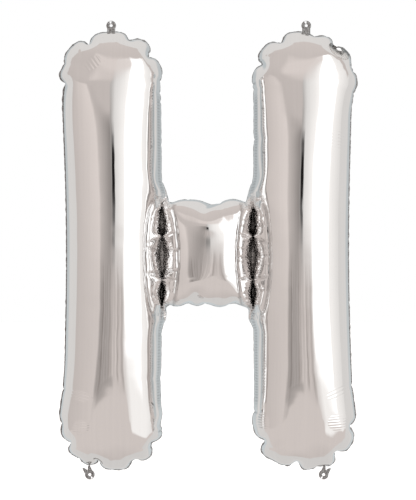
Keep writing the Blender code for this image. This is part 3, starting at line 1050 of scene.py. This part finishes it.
def valve_flap(front):
    """The inflation valve's inner sleeve: a crumpled, patterned patch that domes out of its lobe."""
    bpy.ops.object.select_all(action="DESELECT")
    bpy.ops.mesh.primitive_grid_add(x_subdivisions=VALVE_ACROSS, y_subdivisions=VALVE_UP, size=2.0)
    made = bpy.context.object
    made.name = made.data.name = "inflation_valve_flap"
    mesh = made.data
    surface = BVHTree.FromPolygons(
        [vertex.co for vertex in front.data.vertices], [tuple(face.vertices) for face in front.data.polygons]
    )
    local = mesh.uv_layers.new(name="patch")
    lean = math.radians(VALVE_LEAN)
    for loop in mesh.loops:
        spot = mesh.vertices[loop.vertex_index].co
        local.data[loop.index].uv = (0.5 + spot.x / 2, 0.5 + spot.y / 2)
    for vertex in mesh.vertices:
        u, v = vertex.co.x, vertex.co.y
        across = u * math.sqrt(1 - v * v / 2) * VALVE_HALF_LENGTH
        up = v * math.sqrt(1 - u * u / 2) * VALVE_HALF_HEIGHT
        x = VALVE_X + across * math.cos(lean) + up * math.sin(lean)
        z = VALVE_Z - across * math.sin(lean) + up * math.cos(lean)
        hit = surface.ray_cast(Vector((x, -0.3, z)), Vector((0.0, 1.0, 0.0)))[0]
        if hit is None:
            hit = surface.find_nearest(Vector((x, 0.0, z)))[0]
        edge = (1 - max(abs(u), abs(v)) ** 4)
        crumple = noise.noise(Vector((u * 2.4, v * 1.9, 3.0))) * VALVE_CRUMPLE
        vertex.co = (hit.x, hit.y - (VALVE_DOME * edge + crumple * edge) - 0.0004, hit.z)
    soft = made.modifiers.new("soft", "SUBSURF")
    soft.levels = soft.render_levels = 1
    apply_modifiers(made)
    thicken(made, FILM_THICKNESS)
    return made


def wire(tree, kind, inputs=None, **settings):
    """A node with its settings, its inputs given by name or number as a value or another node's socket."""
    node = tree.nodes.new(kind)
    for name, value in settings.items():
        setattr(node, name, value)
    for name, value in (inputs or {}).items():
        if isinstance(value, bpy.types.NodeSocket):
            tree.links.new(value, node.inputs[name])
        else:
            node.inputs[name].default_value = value
    return node


def maths(tree, operation, *values):
    return wire(tree, "ShaderNodeMath", dict(enumerate(values)), operation=operation).outputs[0]


def blend_colour(tree, mask, under, over):
    node = wire(tree, "ShaderNodeMix", {0: mask, 6: under, 7: over}, data_type="RGBA")
    return node.outputs[2]


def soft_step(tree, value, start, end):
    """0 below start and 1 above end, with a smooth change between; start may be the higher one."""
    inputs = {"Value": value, "From Min": start, "From Max": end}
    return wire(tree, "ShaderNodeMapRange", inputs, interpolation_type="SMOOTHSTEP").outputs[0]


def painted(tone, cast, gain=1.0):
    """Scene colour that shows as this tone, from 0 to 1, with a slight cast."""
    def linear(v):
        return v / 12.92 if v <= 0.04045 else ((v + 0.055) / 1.055) ** 2.4
    return tuple(linear(tone * share) * gain for share in cast) + (1.0,)


def lit(tone, cast):
    """What a studio surface has to send out to show as this tone in the foil."""
    return painted(tone, cast, FOIL_LOSS_GAIN)


def ramp(tree, value, stops):
    """A colour that follows a value through stops of (value, colour)."""
    low, high = stops[0][0], stops[-1][0]
    share = wire(tree, "ShaderNodeMapRange", {"Value": value, "From Min": low, "From Max": high}).outputs[0]
    node = wire(tree, "ShaderNodeValToRGB", {"Fac": share})
    marks = node.color_ramp.elements
    while len(marks) > 1:
        marks.remove(marks[-1])
    marks[0].position = 0.0
    marks[0].color = stops[0][1]
    for at, colour in stops[1:]:
        marks.new((at - low) / (high - low)).color = colour
    return node.outputs["Color"]


def band(tree, value, start, end, soft):
    """1 between start and end, falling to 0 over soft outside them."""
    rise = soft_step(tree, value, start - soft, start)
    return maths(tree, "MULTIPLY", rise, soft_step(tree, value, end + soft, end))


def stops_of(*surfaces):
    """The ramp stops of studio surfaces that follow each other."""
    stops = []
    for start, end, first, last, cast in surfaces:
        stops += [(start, lit(first, cast)), (end, lit(last, cast))]
    return stops


def studio_world():
    """What the foil mirrors: light walls, a curtain, a softbox on the right and a dark gap by the camera."""
    world = bpy.data.worlds.new("studio")
    bpy.context.scene.world = world
    world.use_nodes = True
    tree = world.node_tree
    tree.nodes.clear()
    way = wire(tree, "ShaderNodeTexCoord").outputs["Generated"]
    part = wire(tree, "ShaderNodeSeparateXYZ", {0: way})
    x, y, z = part.outputs
    bearing = maths(tree, "DEGREES", maths(tree, "ARCTAN2", x, maths(tree, "MULTIPLY", y, -1.0)))
    height = maths(tree, "DEGREES", maths(tree, "ARCSINE", z))
    off_axis = maths(tree, "DEGREES", maths(tree, "ARCCOSINE", maths(tree, "MULTIPLY", y, -1.0)))

    upper = ramp(tree, bearing, stops_of(LEFT_FLAT, CURTAIN, PALE_WALL, WHITE_SCREEN, RIGHT_FLAT))
    lower = ramp(tree, bearing, stops_of(LOW_FLAT, LOW_CURTAIN, RISER, LOW_SCREEN, RIGHT_FLAT))
    room = blend_colour(tree, soft_step(tree, height, -5.0, 4.0), lower, upper)

    # Uneven folds of the dark curtain below the camera
    folds = wire(tree, "ShaderNodeCombineXYZ", {0: bearing, 1: maths(tree, "MULTIPLY", height, 0.08)})
    grain = wire(tree, "ShaderNodeTexNoise", {"Vector": folds.outputs[0], "Scale": 0.22, "Detail": 2.0})
    tones = [(0.3, (0.62, 0.60, 0.59, 1)), (0.5, (0.95, 0.95, 0.95, 1)), (0.7, (1.2, 1.2, 1.2, 1))]
    shade = ramp(tree, grain.outputs["Fac"], tones)
    beside = band(tree, bearing, -30.0, 24.0, 4.0)
    curtain = maths(tree, "MULTIPLY", beside, band(tree, height, -13.5, -3.0, 3.0))
    layers = {0: curtain, 6: room, 7: shade}
    folded = wire(tree, "ShaderNodeMix", layers, data_type="RGBA", blend_type="MULTIPLY")
    room = folded.outputs[2]

    # Ceiling and floor, which the softbox stands in front of
    softbox_way = band(tree, bearing, 6.0, 84.0, 10.0)
    top_edge = maths(tree, "MULTIPLY_ADD", softbox_way, 32.0, 11.0)
    above = soft_step(tree, maths(tree, "SUBTRACT", height, top_edge), 0.0, 6.0)
    room = blend_colour(tree, above, room, ramp(tree, height, stops_of(CEILING_CLOTH)))
    low_way = band(tree, bearing, 34.0, 84.0, 10.0)
    bottom_edge = maths(tree, "MULTIPLY_ADD", low_way, -12.0, -13.5)
    below = soft_step(tree, maths(tree, "SUBTRACT", height, bottom_edge), 0.0, -4.0)
    room = blend_colour(tree, below, room, ramp(tree, height, stops_of(FLOOR_CLOTH)))

    # A light panel over the camera, and the dark hem of the curtain
    aside = band(tree, bearing, -18.0, 24.0, 18.0)
    panel = maths(tree, "MULTIPLY", aside, band(tree, height, 34.0, 42.0, 11.0))
    room = blend_colour(tree, maths(tree, "MULTIPLY", panel, 0.85), room, lit(LIGHT, WARM_CAST))
    aside = band(tree, bearing, -24.0, -2.0, 6.0)
    hem = maths(tree, "MULTIPLY", aside, band(tree, height, -16.2, -15.0, 1.0))
    room = blend_colour(tree, maths(tree, "MULTIPLY", hem, 0.5), room, lit(DARK, WARM_CAST))

    # Softbox
    glow = maths(tree, "MULTIPLY", band(tree, bearing, 30.0, 66.0, 6.0), band(tree, height, -4.0, 44.0, 8.0))
    room = blend_colour(tree, glow, room, (SOFTBOX_GAIN, SOFTBOX_GAIN, SOFTBOX_GAIN, 1.0))

    # Dark gap beside the camera
    gap = maths(
        tree, "MULTIPLY", band(tree, bearing, -1.5, 3.0, 2.0),
        maths(tree, "MULTIPLY", soft_step(tree, height, 14.0, 8.0), soft_step(tree, height, -3.0, 6.0)),
    )
    room = blend_colour(tree, gap, room, lit(BLACK, WARM_CAST))

    # Light paper behind and round the object; it reaches further forward above and below
    aloft = maths(tree, "MULTIPLY", z, z)
    across = maths(tree, "ADD", maths(tree, "MULTIPLY", x, x), aloft)
    steep = maths(tree, "DIVIDE", aloft, maths(tree, "MAXIMUM", across, 0.001))
    edge = maths(tree, "MULTIPLY_ADD", steep, -PAPER_FORWARD, 100.0)
    paper = ramp(tree, height, stops_of(PAPER))
    room = blend_colour(tree, soft_step(tree, maths(tree, "SUBTRACT", off_axis, edge), 0.0, 3.0), room, paper)

    camera_sees = wire(tree, "ShaderNodeLightPath").outputs["Is Camera Ray"]
    seen = wire(tree, "ShaderNodeBackground", {"Color": (1.0, 1.0, 1.0, 1.0)})
    mirrored = wire(tree, "ShaderNodeBackground", {"Color": room})
    mixed = wire(tree, "ShaderNodeMixShader", {0: camera_sees, 1: mirrored.outputs[0], 2: seen.outputs[0]})
    wire(tree, "ShaderNodeOutputWorld", {"Surface": mixed.outputs[0]})


def studio_backdrop():
    """A blue-grey card behind the object, which shows only as its reflection in the foil's far edges."""
    bpy.ops.object.select_all(action="DESELECT")
    upright = (math.radians(90), 0.0, 0.0)
    bpy.ops.mesh.primitive_plane_add(size=1.0, location=(0.0, 0.75, 0.0), rotation=upright)
    card = bpy.context.object
    card.name = "backdrop_card"
    card.scale = (2.6, 2.6, 1.0)
    bpy.ops.object.transform_apply(location=True, rotation=True, scale=True)
    card.visible_camera = False
    card.visible_diffuse = False
    card.visible_shadow = False
    material = bpy.data.materials.new("backdrop_card")
    material.use_nodes = True
    tree = material.node_tree
    tree.nodes.clear()
    spot = wire(tree, "ShaderNodeSeparateXYZ", {0: wire(tree, "ShaderNodeTexCoord").outputs["Object"]})
    tint = ramp(tree, spot.outputs[2], stops_of(BACKDROP_CARD))
    send = wire(tree, "ShaderNodeEmission", {"Color": tint})
    clear = wire(tree, "ShaderNodeBsdfTransparent")
    aside = maths(tree, "ABSOLUTE", spot.outputs[0])
    aloft = maths(tree, "ABSOLUTE", spot.outputs[2])
    edge = maths(tree, "MULTIPLY", soft_step(tree, aside, 1.1, 0.8), soft_step(tree, aloft, 1.0, 0.6))
    mixed = wire(tree, "ShaderNodeMixShader", {0: edge, 1: clear.outputs[0], 2: send.outputs[0]})
    wire(tree, "ShaderNodeOutputMaterial", {"Surface": mixed.outputs[0]})
    card.data.materials.append(material)


def studio_floor():
    """A plain pale floor well below the balloon, which is left out of its reflections."""
    bpy.ops.object.select_all(action="DESELECT")
    bpy.ops.mesh.primitive_plane_add(size=30.0, location=(0.0, 0.0, FLOOR_Z))
    floor = bpy.context.object
    floor.name = "studio_floor"
    floor.visible_glossy = False
    material = bpy.data.materials.new("studio_floor")
    material.use_nodes = True
    shader = material.node_tree.nodes["Principled BSDF"]
    shader.inputs["Base Color"].default_value = (0.9, 0.9, 0.9, 1.0)
    shader.inputs["Roughness"].default_value = 0.9
    shader.inputs["Emission Color"].default_value = (1.0, 1.0, 1.0, 1.0)
    shader.inputs["Emission Strength"].default_value = 0.55
    floor.data.materials.append(material)


def camera():
    """The photograph's view: straight on, from far off, centred a hair right of and above the origin."""
    view = bpy.data.cameras.new("camera")
    half_height = PHOTO_HEIGHT / 2 * PHOTO_SCALE
    view.sensor_width = 36.0
    view.lens = view.sensor_width / 2 * CAMERA_DISTANCE / half_height
    made = bpy.data.objects.new("camera", view)
    bpy.context.scene.collection.objects.link(made)
    made.location = (PHOTO_OFFSET_X * PHOTO_SCALE, -CAMERA_DISTANCE, PHOTO_OFFSET_Z * PHOTO_SCALE)
    made.rotation_euler = (math.radians(90), 0.0, 0.0)
    bpy.context.scene.camera = made
    bpy.context.scene.view_settings.view_transform = "Standard"


def group_sockets(name, inputs, outputs):
    """A new shader node group with named sockets, and its input and output nodes."""
    tree = bpy.data.node_groups.new(name, "ShaderNodeTree")
    for label, kind in inputs:
        tree.interface.new_socket(label, in_out="INPUT", socket_type=kind)
    for label, kind in outputs:
        tree.interface.new_socket(label, in_out="OUTPUT", socket_type=kind)
    return tree, tree.nodes.new("NodeGroupInput"), tree.nodes.new("NodeGroupOutput")


def noise_value(tree, vector, scale, detail=2.0, roughness=0.5):
    inputs = {"Vector": vector, "Scale": scale, "Detail": detail, "Roughness": roughness}
    return wire(tree, "ShaderNodeTexNoise", inputs).outputs["Fac"]


def stretched(tree, vector, scale):
    return wire(tree, "ShaderNodeVectorMath", {0: vector, 1: scale}, operation="MULTIPLY").outputs[0]


def seam_ripple_group():
    """Fine gathers square to the seam, strongest at it, in patches along the run."""
    tree, given, result = group_sockets(
        "seam_ripples",
        [("Distance", "NodeSocketFloat"), ("Run", "NodeSocketFloat"), ("Position", "NodeSocketVector")],
        [("Height", "NodeSocketFloat"), ("Mask", "NodeSocketFloat")],
    )
    distance, run, position = given.outputs["Distance"], given.outputs["Run"], given.outputs["Position"]
    wander = noise_value(tree, position, 35.0)
    phase = maths(tree, "MULTIPLY_ADD", run, RIPPLE_RATE, maths(tree, "MULTIPLY", wander, 9.0))
    wave = maths(tree, "SINE", phase)
    patch = soft_step(tree, noise_value(tree, position, 14.0, 1.0), 0.40, 0.62)
    near = soft_step(tree, distance, 0.021, 0.003)
    close = soft_step(tree, distance, 0.013, 0.0)
    mask = maths(tree, "MAXIMUM", maths(tree, "MULTIPLY", near, patch), maths(tree, "MULTIPLY", close, 0.6))
    height = maths(tree, "MULTIPLY", maths(tree, "MULTIPLY", wave, mask), RIPPLE_HEIGHT)
    tree.links.new(height, result.inputs["Height"])
    tree.links.new(mask, result.inputs["Mask"])
    return tree


def draw_line_group():
    """Faint lengthwise lines that rolling leaves in the film, and broad, shallow unevenness."""
    tree, given, result = group_sockets(
        "draw_lines", [("Cut", "NodeSocketVector"), ("Position", "NodeSocketVector")],
        [("Height", "NodeSocketFloat"), ("Dulling", "NodeSocketFloat")],
    )
    lines = noise_value(tree, stretched(tree, given.outputs["Cut"], (1.0, 0.03, 1.0)), 160.0, 3.0, 0.6)
    swell = noise_value(tree, given.outputs["Position"], 16.0, 1.0)
    height = maths(tree, "MULTIPLY_ADD", lines, 0.00005, maths(tree, "MULTIPLY", swell, 0.0006))
    tree.links.new(height, result.inputs["Height"])
    tree.links.new(lines, result.inputs["Dulling"])
    return tree


def crinkle_group():
    """Small sharp crinkles in the film, as the junction welds and corners pull it."""
    tree, given, result = group_sockets(
        "crinkles",
        [("Position", "NodeSocketVector"), ("Size", "NodeSocketFloat"), ("Amount", "NodeSocketFloat")],
        [("Height", "NodeSocketFloat")],
    )
    bent = noise_value(tree, given.outputs["Position"], 60.0, 1.0)
    moved = wire(
        tree, "ShaderNodeVectorMath",
        {
            0: given.outputs["Position"],
            1: wire(tree, "ShaderNodeCombineXYZ", {0: maths(tree, "MULTIPLY", bent, 0.006)}).outputs[0],
        },
        operation="ADD",
    ).outputs[0]
    cells = wire(
        tree, "ShaderNodeTexVoronoi",
        {"Vector": stretched(tree, moved, (1.0, 1.0, 1.9)), "Scale": given.outputs["Size"]},
        feature="F1",
    ).outputs["Distance"]
    height = maths(tree, "MULTIPLY", cells, given.outputs["Amount"])
    tree.links.new(height, result.inputs["Height"])
    return tree


def flank_bead_group():
    """Rows of fine beads across the film that faces the other upright, and painted shade that darkens it."""
    tree, given, result = group_sockets(
        "flank_beads", [("Position", "NodeSocketVector"), ("Amount", "NodeSocketFloat")],
        [("Height", "NodeSocketFloat"), ("Shade", "NodeSocketFloat")],
    )
    _, _, z = wire(tree, "ShaderNodeSeparateXYZ", {0: given.outputs["Position"]}).outputs
    wander = noise_value(tree, given.outputs["Position"], 50.0)
    wave = maths(tree, "SINE", maths(tree, "MULTIPLY_ADD", z, 1150.0, maths(tree, "MULTIPLY", wander, 7.0)))
    patch = soft_step(tree, noise_value(tree, given.outputs["Position"], 11.0, 1.0), 0.38, 0.58)
    part = maths(tree, "MULTIPLY", given.outputs["Amount"], maths(tree, "MULTIPLY_ADD", patch, 0.8, 0.2))
    height = maths(tree, "MULTIPLY", maths(tree, "MULTIPLY", wave, part), 0.00032)
    # Painted shade on the inner flank, in rows with the beads
    shade = maths(tree, "MULTIPLY", given.outputs["Amount"], maths(tree, "MULTIPLY_ADD", wave, 0.3, 0.7))
    tree.links.new(height, result.inputs["Height"])
    tree.links.new(shade, result.inputs["Shade"])
    return tree


def patch_gather_group():
    """One small patch of parallel gathers, slanted as given in the front view."""
    tree, given, result = group_sockets(
        "patch_gathers",
        [("Position", "NodeSocketVector"), ("Centre", "NodeSocketVector"), ("Slant", "NodeSocketFloat"),
         ("Wavelength", "NodeSocketFloat"), ("Length", "NodeSocketFloat"), ("Width", "NodeSocketFloat"),
         ("Amount", "NodeSocketFloat")],
        [("Height", "NodeSocketFloat")],
    )
    away = wire(
        tree, "ShaderNodeVectorMath",
        {0: given.outputs["Position"], 1: given.outputs["Centre"]}, operation="SUBTRACT",
    ).outputs[0]
    x, y, z = wire(tree, "ShaderNodeSeparateXYZ", {0: away}).outputs
    cosine, sine = maths(tree, "COSINE", given.outputs["Slant"]), maths(tree, "SINE", given.outputs["Slant"])
    along = maths(tree, "ADD", maths(tree, "MULTIPLY", x, cosine), maths(tree, "MULTIPLY", z, sine))
    across = maths(tree, "SUBTRACT", maths(tree, "MULTIPLY", z, cosine), maths(tree, "MULTIPLY", x, sine))
    turns = maths(tree, "DIVIDE", maths(tree, "MULTIPLY", along, 2 * math.pi), given.outputs["Wavelength"])
    wave = maths(tree, "SINE", turns)
    ends = maths(tree, "POWER", maths(tree, "DIVIDE", along, given.outputs["Length"]), 2.0)
    sides = maths(tree, "POWER", maths(tree, "DIVIDE", across, given.outputs["Width"]), 2.0)
    inside = soft_step(tree, maths(tree, "ADD", ends, sides), 1.0, 0.3)
    inside = maths(tree, "MULTIPLY", inside, maths(tree, "LESS_THAN", y, 0.0))
    height = maths(tree, "MULTIPLY", maths(tree, "MULTIPLY", wave, inside), given.outputs["Amount"])
    tree.links.new(height, result.inputs["Height"])
    return tree


def crosshatch_group():
    """The fine diamond grain that the heat-sealing bar leaves."""
    tree, given, result = group_sockets(
        "sealed_grain", [("Position", "NodeSocketVector")],
        [("Height", "NodeSocketFloat"), ("Shade", "NodeSocketFloat")],
    )
    x, y, z = wire(tree, "ShaderNodeSeparateXYZ", {0: given.outputs["Position"]}).outputs
    one = maths(tree, "SINE", maths(tree, "MULTIPLY", maths(tree, "ADD", x, z), SEAL_GRAIN_RATE))
    other = maths(tree, "SINE", maths(tree, "MULTIPLY", maths(tree, "SUBTRACT", x, z), SEAL_GRAIN_RATE))
    hatch = maths(tree, "MULTIPLY", one, other)
    speckle = noise_value(tree, given.outputs["Position"], 420.0, 2.0, 0.7)
    height = maths(tree, "MULTIPLY_ADD", hatch, 0.00012, maths(tree, "MULTIPLY", speckle, 0.0009))
    tree.links.new(height, result.inputs["Height"])
    tree.links.new(maths(tree, "MULTIPLY_ADD", hatch, 0.15, speckle), result.inputs["Shade"])
    return tree


SEAM_RIPPLES = seam_ripple_group()
DRAW_LINES = draw_line_group()
CRINKLES = crinkle_group()
SEALED_GRAIN = crosshatch_group()
FLANK_BEADS = flank_bead_group()
PATCH_GATHERS = patch_gather_group()


def use_group(tree, group, **inputs):
    node = tree.nodes.new("ShaderNodeGroup")
    node.node_tree = group
    for name, value in inputs.items():
        if isinstance(value, bpy.types.NodeSocket):
            tree.links.new(value, node.inputs[name])
        else:
            node.inputs[name].default_value = value
    return node.outputs


def metal_material(name, colour, roughness):
    material = bpy.data.materials.new(name)
    material.use_nodes = True
    tree = material.node_tree
    shader = tree.nodes["Principled BSDF"]
    shader.inputs["Metallic"].default_value = 1.0
    shader.inputs["Base Color"].default_value = colour
    shader.inputs["Roughness"].default_value = roughness
    return material, tree, shader


def kept(tree, name):
    """A value that the mesh keeps at its points."""
    return wire(tree, "ShaderNodeAttribute", attribute_name=name).outputs["Fac"]


def silver_film():
    """Mirror-bright metallised film, with fine gathers, crinkles and lines after the photograph's."""
    material, tree, shader = metal_material("silver_foil_film", (0.90, 0.89, 0.885, 1.0), 0.04)
    position = wire(tree, "ShaderNodeTexCoord").outputs["Object"]
    cut = wire(tree, "ShaderNodeUVMap", uv_map="cut").outputs["UV"]
    crease, weld = kept(tree, "crease"), kept(tree, "weld_distance")
    ripples = use_group(
        tree, SEAM_RIPPLES, Distance=kept(tree, "seam_distance"), Run=kept(tree, "seam_run"),
        Position=position,
    )
    lines = use_group(tree, DRAW_LINES, Cut=cut, Position=position)
    flank = kept(tree, "flank")
    by_weld = soft_step(tree, weld, 0.046, 0.020)
    crumple = maths(tree, "MULTIPLY", by_weld, 0.0022)
    crinkles = use_group(tree, CRINKLES, Position=position, Size=150.0, Amount=crumple)
    beading = use_group(tree, FLANK_BEADS, Position=position, Amount=flank)
    height = maths(tree, "ADD", maths(tree, "ADD", ripples["Height"], lines["Height"]), crinkles["Height"])
    height = maths(tree, "ADD", height, beading["Height"])
    for x, z, slant, wavelength, length, width, amount in GATHERED_PATCHES:
        gathers = use_group(
            tree, PATCH_GATHERS, Position=position, Centre=(x, 0.0, z), Slant=math.radians(slant),
            Wavelength=wavelength, Length=length, Width=width, Amount=amount,
        )
        height = maths(tree, "ADD", height, gathers["Height"])
    bump = wire(tree, "ShaderNodeBump", {"Height": height, "Strength": 1.0, "Distance": 1.0})
    tree.links.new(bump.outputs["Normal"], shader.inputs["Normal"])

    tint = blend_colour(tree, lines["Dulling"], (0.865, 0.855, 0.85, 1.0), (0.925, 0.915, 0.91, 1.0))
    # Painted shade darkens the inner flanks that face the other upright
    tint = blend_colour(tree, maths(tree, "MULTIPLY", beading["Shade"], 0.45), tint, (0.20, 0.20, 0.21, 1.0))
    grain = use_group(tree, SEALED_GRAIN, Position=position)
    near_seam = maths(tree, "MULTIPLY", ripples["Mask"], 0.22)
    hatch = maths(tree, "MULTIPLY", soft_step(tree, grain["Shade"], 0.35, 0.65), near_seam)
    tint = blend_colour(tree, hatch, tint, (0.45, 0.45, 0.46, 1.0))
    # Painted shade along the creases and in the folds and pinches by the welds, from the crease attribute
    tint = blend_colour(tree, maths(tree, "MULTIPLY", crease, 0.9), tint, (0.05, 0.045, 0.045, 1.0))
    # Painted shade in the clefts over the welds, made uneven by the sealing grain
    cleft_shade_grain = maths(tree, "MULTIPLY_ADD", soft_step(tree, grain["Shade"], 0.3, 0.7), -0.25, 0.97)
    pit_shade = maths(tree, "MULTIPLY", kept(tree, "cleft_shade"), cleft_shade_grain)
    tint = blend_colour(tree, pit_shade, tint, (0.10, 0.09, 0.085, 1.0))
    tree.links.new(tint, shader.inputs["Base Color"])
    rough = maths(tree, "MULTIPLY_ADD", lines["Dulling"], 0.04, 0.02)
    rough = maths(tree, "MULTIPLY_ADD", ripples["Mask"], 0.06, rough)
    rough = maths(tree, "MULTIPLY_ADD", by_weld, 0.04, rough)
    tree.links.new(rough, shader.inputs["Roughness"])
    return material


def welded_film(name, dark, light, roughness):
    """Two films sealed into one: duller, grey, with the bar's grain."""
    material, tree, shader = metal_material(name, light, roughness)
    position = wire(tree, "ShaderNodeTexCoord").outputs["Object"]
    grain = use_group(tree, SEALED_GRAIN, Position=position)
    tint = blend_colour(tree, soft_step(tree, grain["Shade"], 0.30, 0.70), dark, light)
    tree.links.new(tint, shader.inputs["Base Color"])
    bump = wire(tree, "ShaderNodeBump", {"Height": grain["Height"], "Strength": 1.0, "Distance": 1.0})
    tree.links.new(bump.outputs["Normal"], shader.inputs["Normal"])
    return material


def valve_material():
    """Dark, crumpled, patterned film with a bright diamond that glows with painted light, in the patch's own
    coordinates.
    """
    material, tree, shader = metal_material("patterned_valve_film", (0.5, 0.5, 0.5, 1.0), 0.16)
    patch = wire(tree, "ShaderNodeUVMap", uv_map="patch").outputs["UV"]
    u, v, _ = wire(tree, "ShaderNodeSeparateXYZ", {0: patch}).outputs
    bent = noise_value(tree, patch, 5.0, 3.0, 0.6)
    mottle = noise_value(tree, patch, 9.0, 4.0, 0.75)
    tones = [(0.35, 0.25), (0.5, DARK), (0.65, LIGHT)]
    base = ramp(tree, mottle, [(at, painted(tone, PLAIN_CAST)) for at, tone in tones])

    # Pale film along the lower side and at the right end
    low = soft_step(tree, maths(tree, "ADD", v, maths(tree, "MULTIPLY", bent, 0.12)), 0.40, 0.24)
    right_end = maths(tree, "MULTIPLY", soft_step(tree, u, 0.66, 0.74), soft_step(tree, v, 0.74, 0.60))
    pale = maths(tree, "MAXIMUM", low, right_end)
    tint = blend_colour(tree, pale, base, painted(0.9, PLAIN_CAST))

    # Black rim towards the balloon's edge
    rim = soft_step(tree, maths(tree, "ADD", v, maths(tree, "MULTIPLY", bent, 0.10)), 0.80, 0.90)
    tint = blend_colour(tree, maths(tree, "MULTIPLY", rim, 0.92), tint, painted(BLACK, PLAIN_CAST))

    # Bright diamond, white and glowing with painted light
    aside = maths(tree, "ABSOLUTE", maths(tree, "SUBTRACT", u, 0.44))
    aloft = maths(tree, "ABSOLUTE", maths(tree, "SUBTRACT", v, 0.62))
    diamond = soft_step(tree, maths(tree, "MULTIPLY_ADD", aloft, 0.9, aside), 0.155, 0.125)
    tint = blend_colour(tree, diamond, tint, (1.0, 1.0, 1.0, 1.0))
    tree.links.new(tint, shader.inputs["Base Color"])
    # The diamond's painted glow: it sends out light though it is no lamp
    glow = blend_colour(tree, diamond, (0.0, 0.0, 0.0, 1.0), (1.0, 1.0, 1.0, 1.0))
    tree.links.new(glow, shader.inputs["Emission Color"])
    shader.inputs["Emission Strength"].default_value = 0.7
    dents = maths(tree, "MULTIPLY", mottle, 0.002)
    bump = wire(tree, "ShaderNodeBump", {"Height": dents, "Strength": 1.0, "Distance": 1.0})
    tree.links.new(bump.outputs["Normal"], shader.inputs["Normal"])
    return material


def part_of(piece, node, material):
    piece.data.materials.clear()
    piece.data.materials.append(material)
    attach(piece, "root")
    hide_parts(node)


camera()
studio_world()
studio_backdrop()
studio_floor()

envelope = blown_up_film()
even_out(envelope)
front = faces_as_object(envelope, "front_panel_film", {FRONT})
back = faces_as_object(envelope, "back_panel_film", {BACK})
lands = faces_as_object(envelope, "junction_weld_film", {FRONT_LAND})
flat_area = cut_area()
bpy.data.objects.remove(envelope)
for piece in (front, back, lands):
    smooth_surface(piece)
seam = seam_line(front)
for piece in (front, back):
    press_creases(piece, seam, lands)
weld_places = shape_array(lands.data.vertices, "co").astype(float)
draw_in(weld_places)
lands.data.vertices.foreach_set("co", weld_places.astype(np.float32).ravel())
seam = seam_line(front)

film = silver_film()
sealed = welded_film("sealed_seam_film", (0.16, 0.16, 0.16, 1.0), (0.50, 0.50, 0.50, 1.0), 0.22)
land_film = welded_film("sealed_junction_film", (0.12, 0.115, 0.11, 1.0), (0.80, 0.79, 0.78, 1.0), 0.20)
tab_film = welded_film("sealed_tab_film", (0.14, 0.14, 0.14, 1.0), (0.52, 0.52, 0.52, 1.0), 0.20)
part_of(front, "front_foil_panel", film)
part_of(back, "back_foil_panel", film)

edge_band = seam_band(seam)
part_of(edge_band, "perimeter_seam", sealed)
strips = weld_strips(lands)
for node, strip in strips.items():
    part_of(strip, node, land_film)
tabs = {}
for node, (x, z, lean, vent_side, root_notch) in HANGING_TABS.items():
    tabs[node] = hanging_tab(f"{node}_film", x, z, lean, vent_side, root_notch)
    part_of(tabs[node], node, tab_film)
flap = valve_flap(front)
part_of(flap, "inflation_valve", valve_material())

flat_size = tuple(float(side) for side in np.ptp(cut_outline(RING_STEP), axis=0))
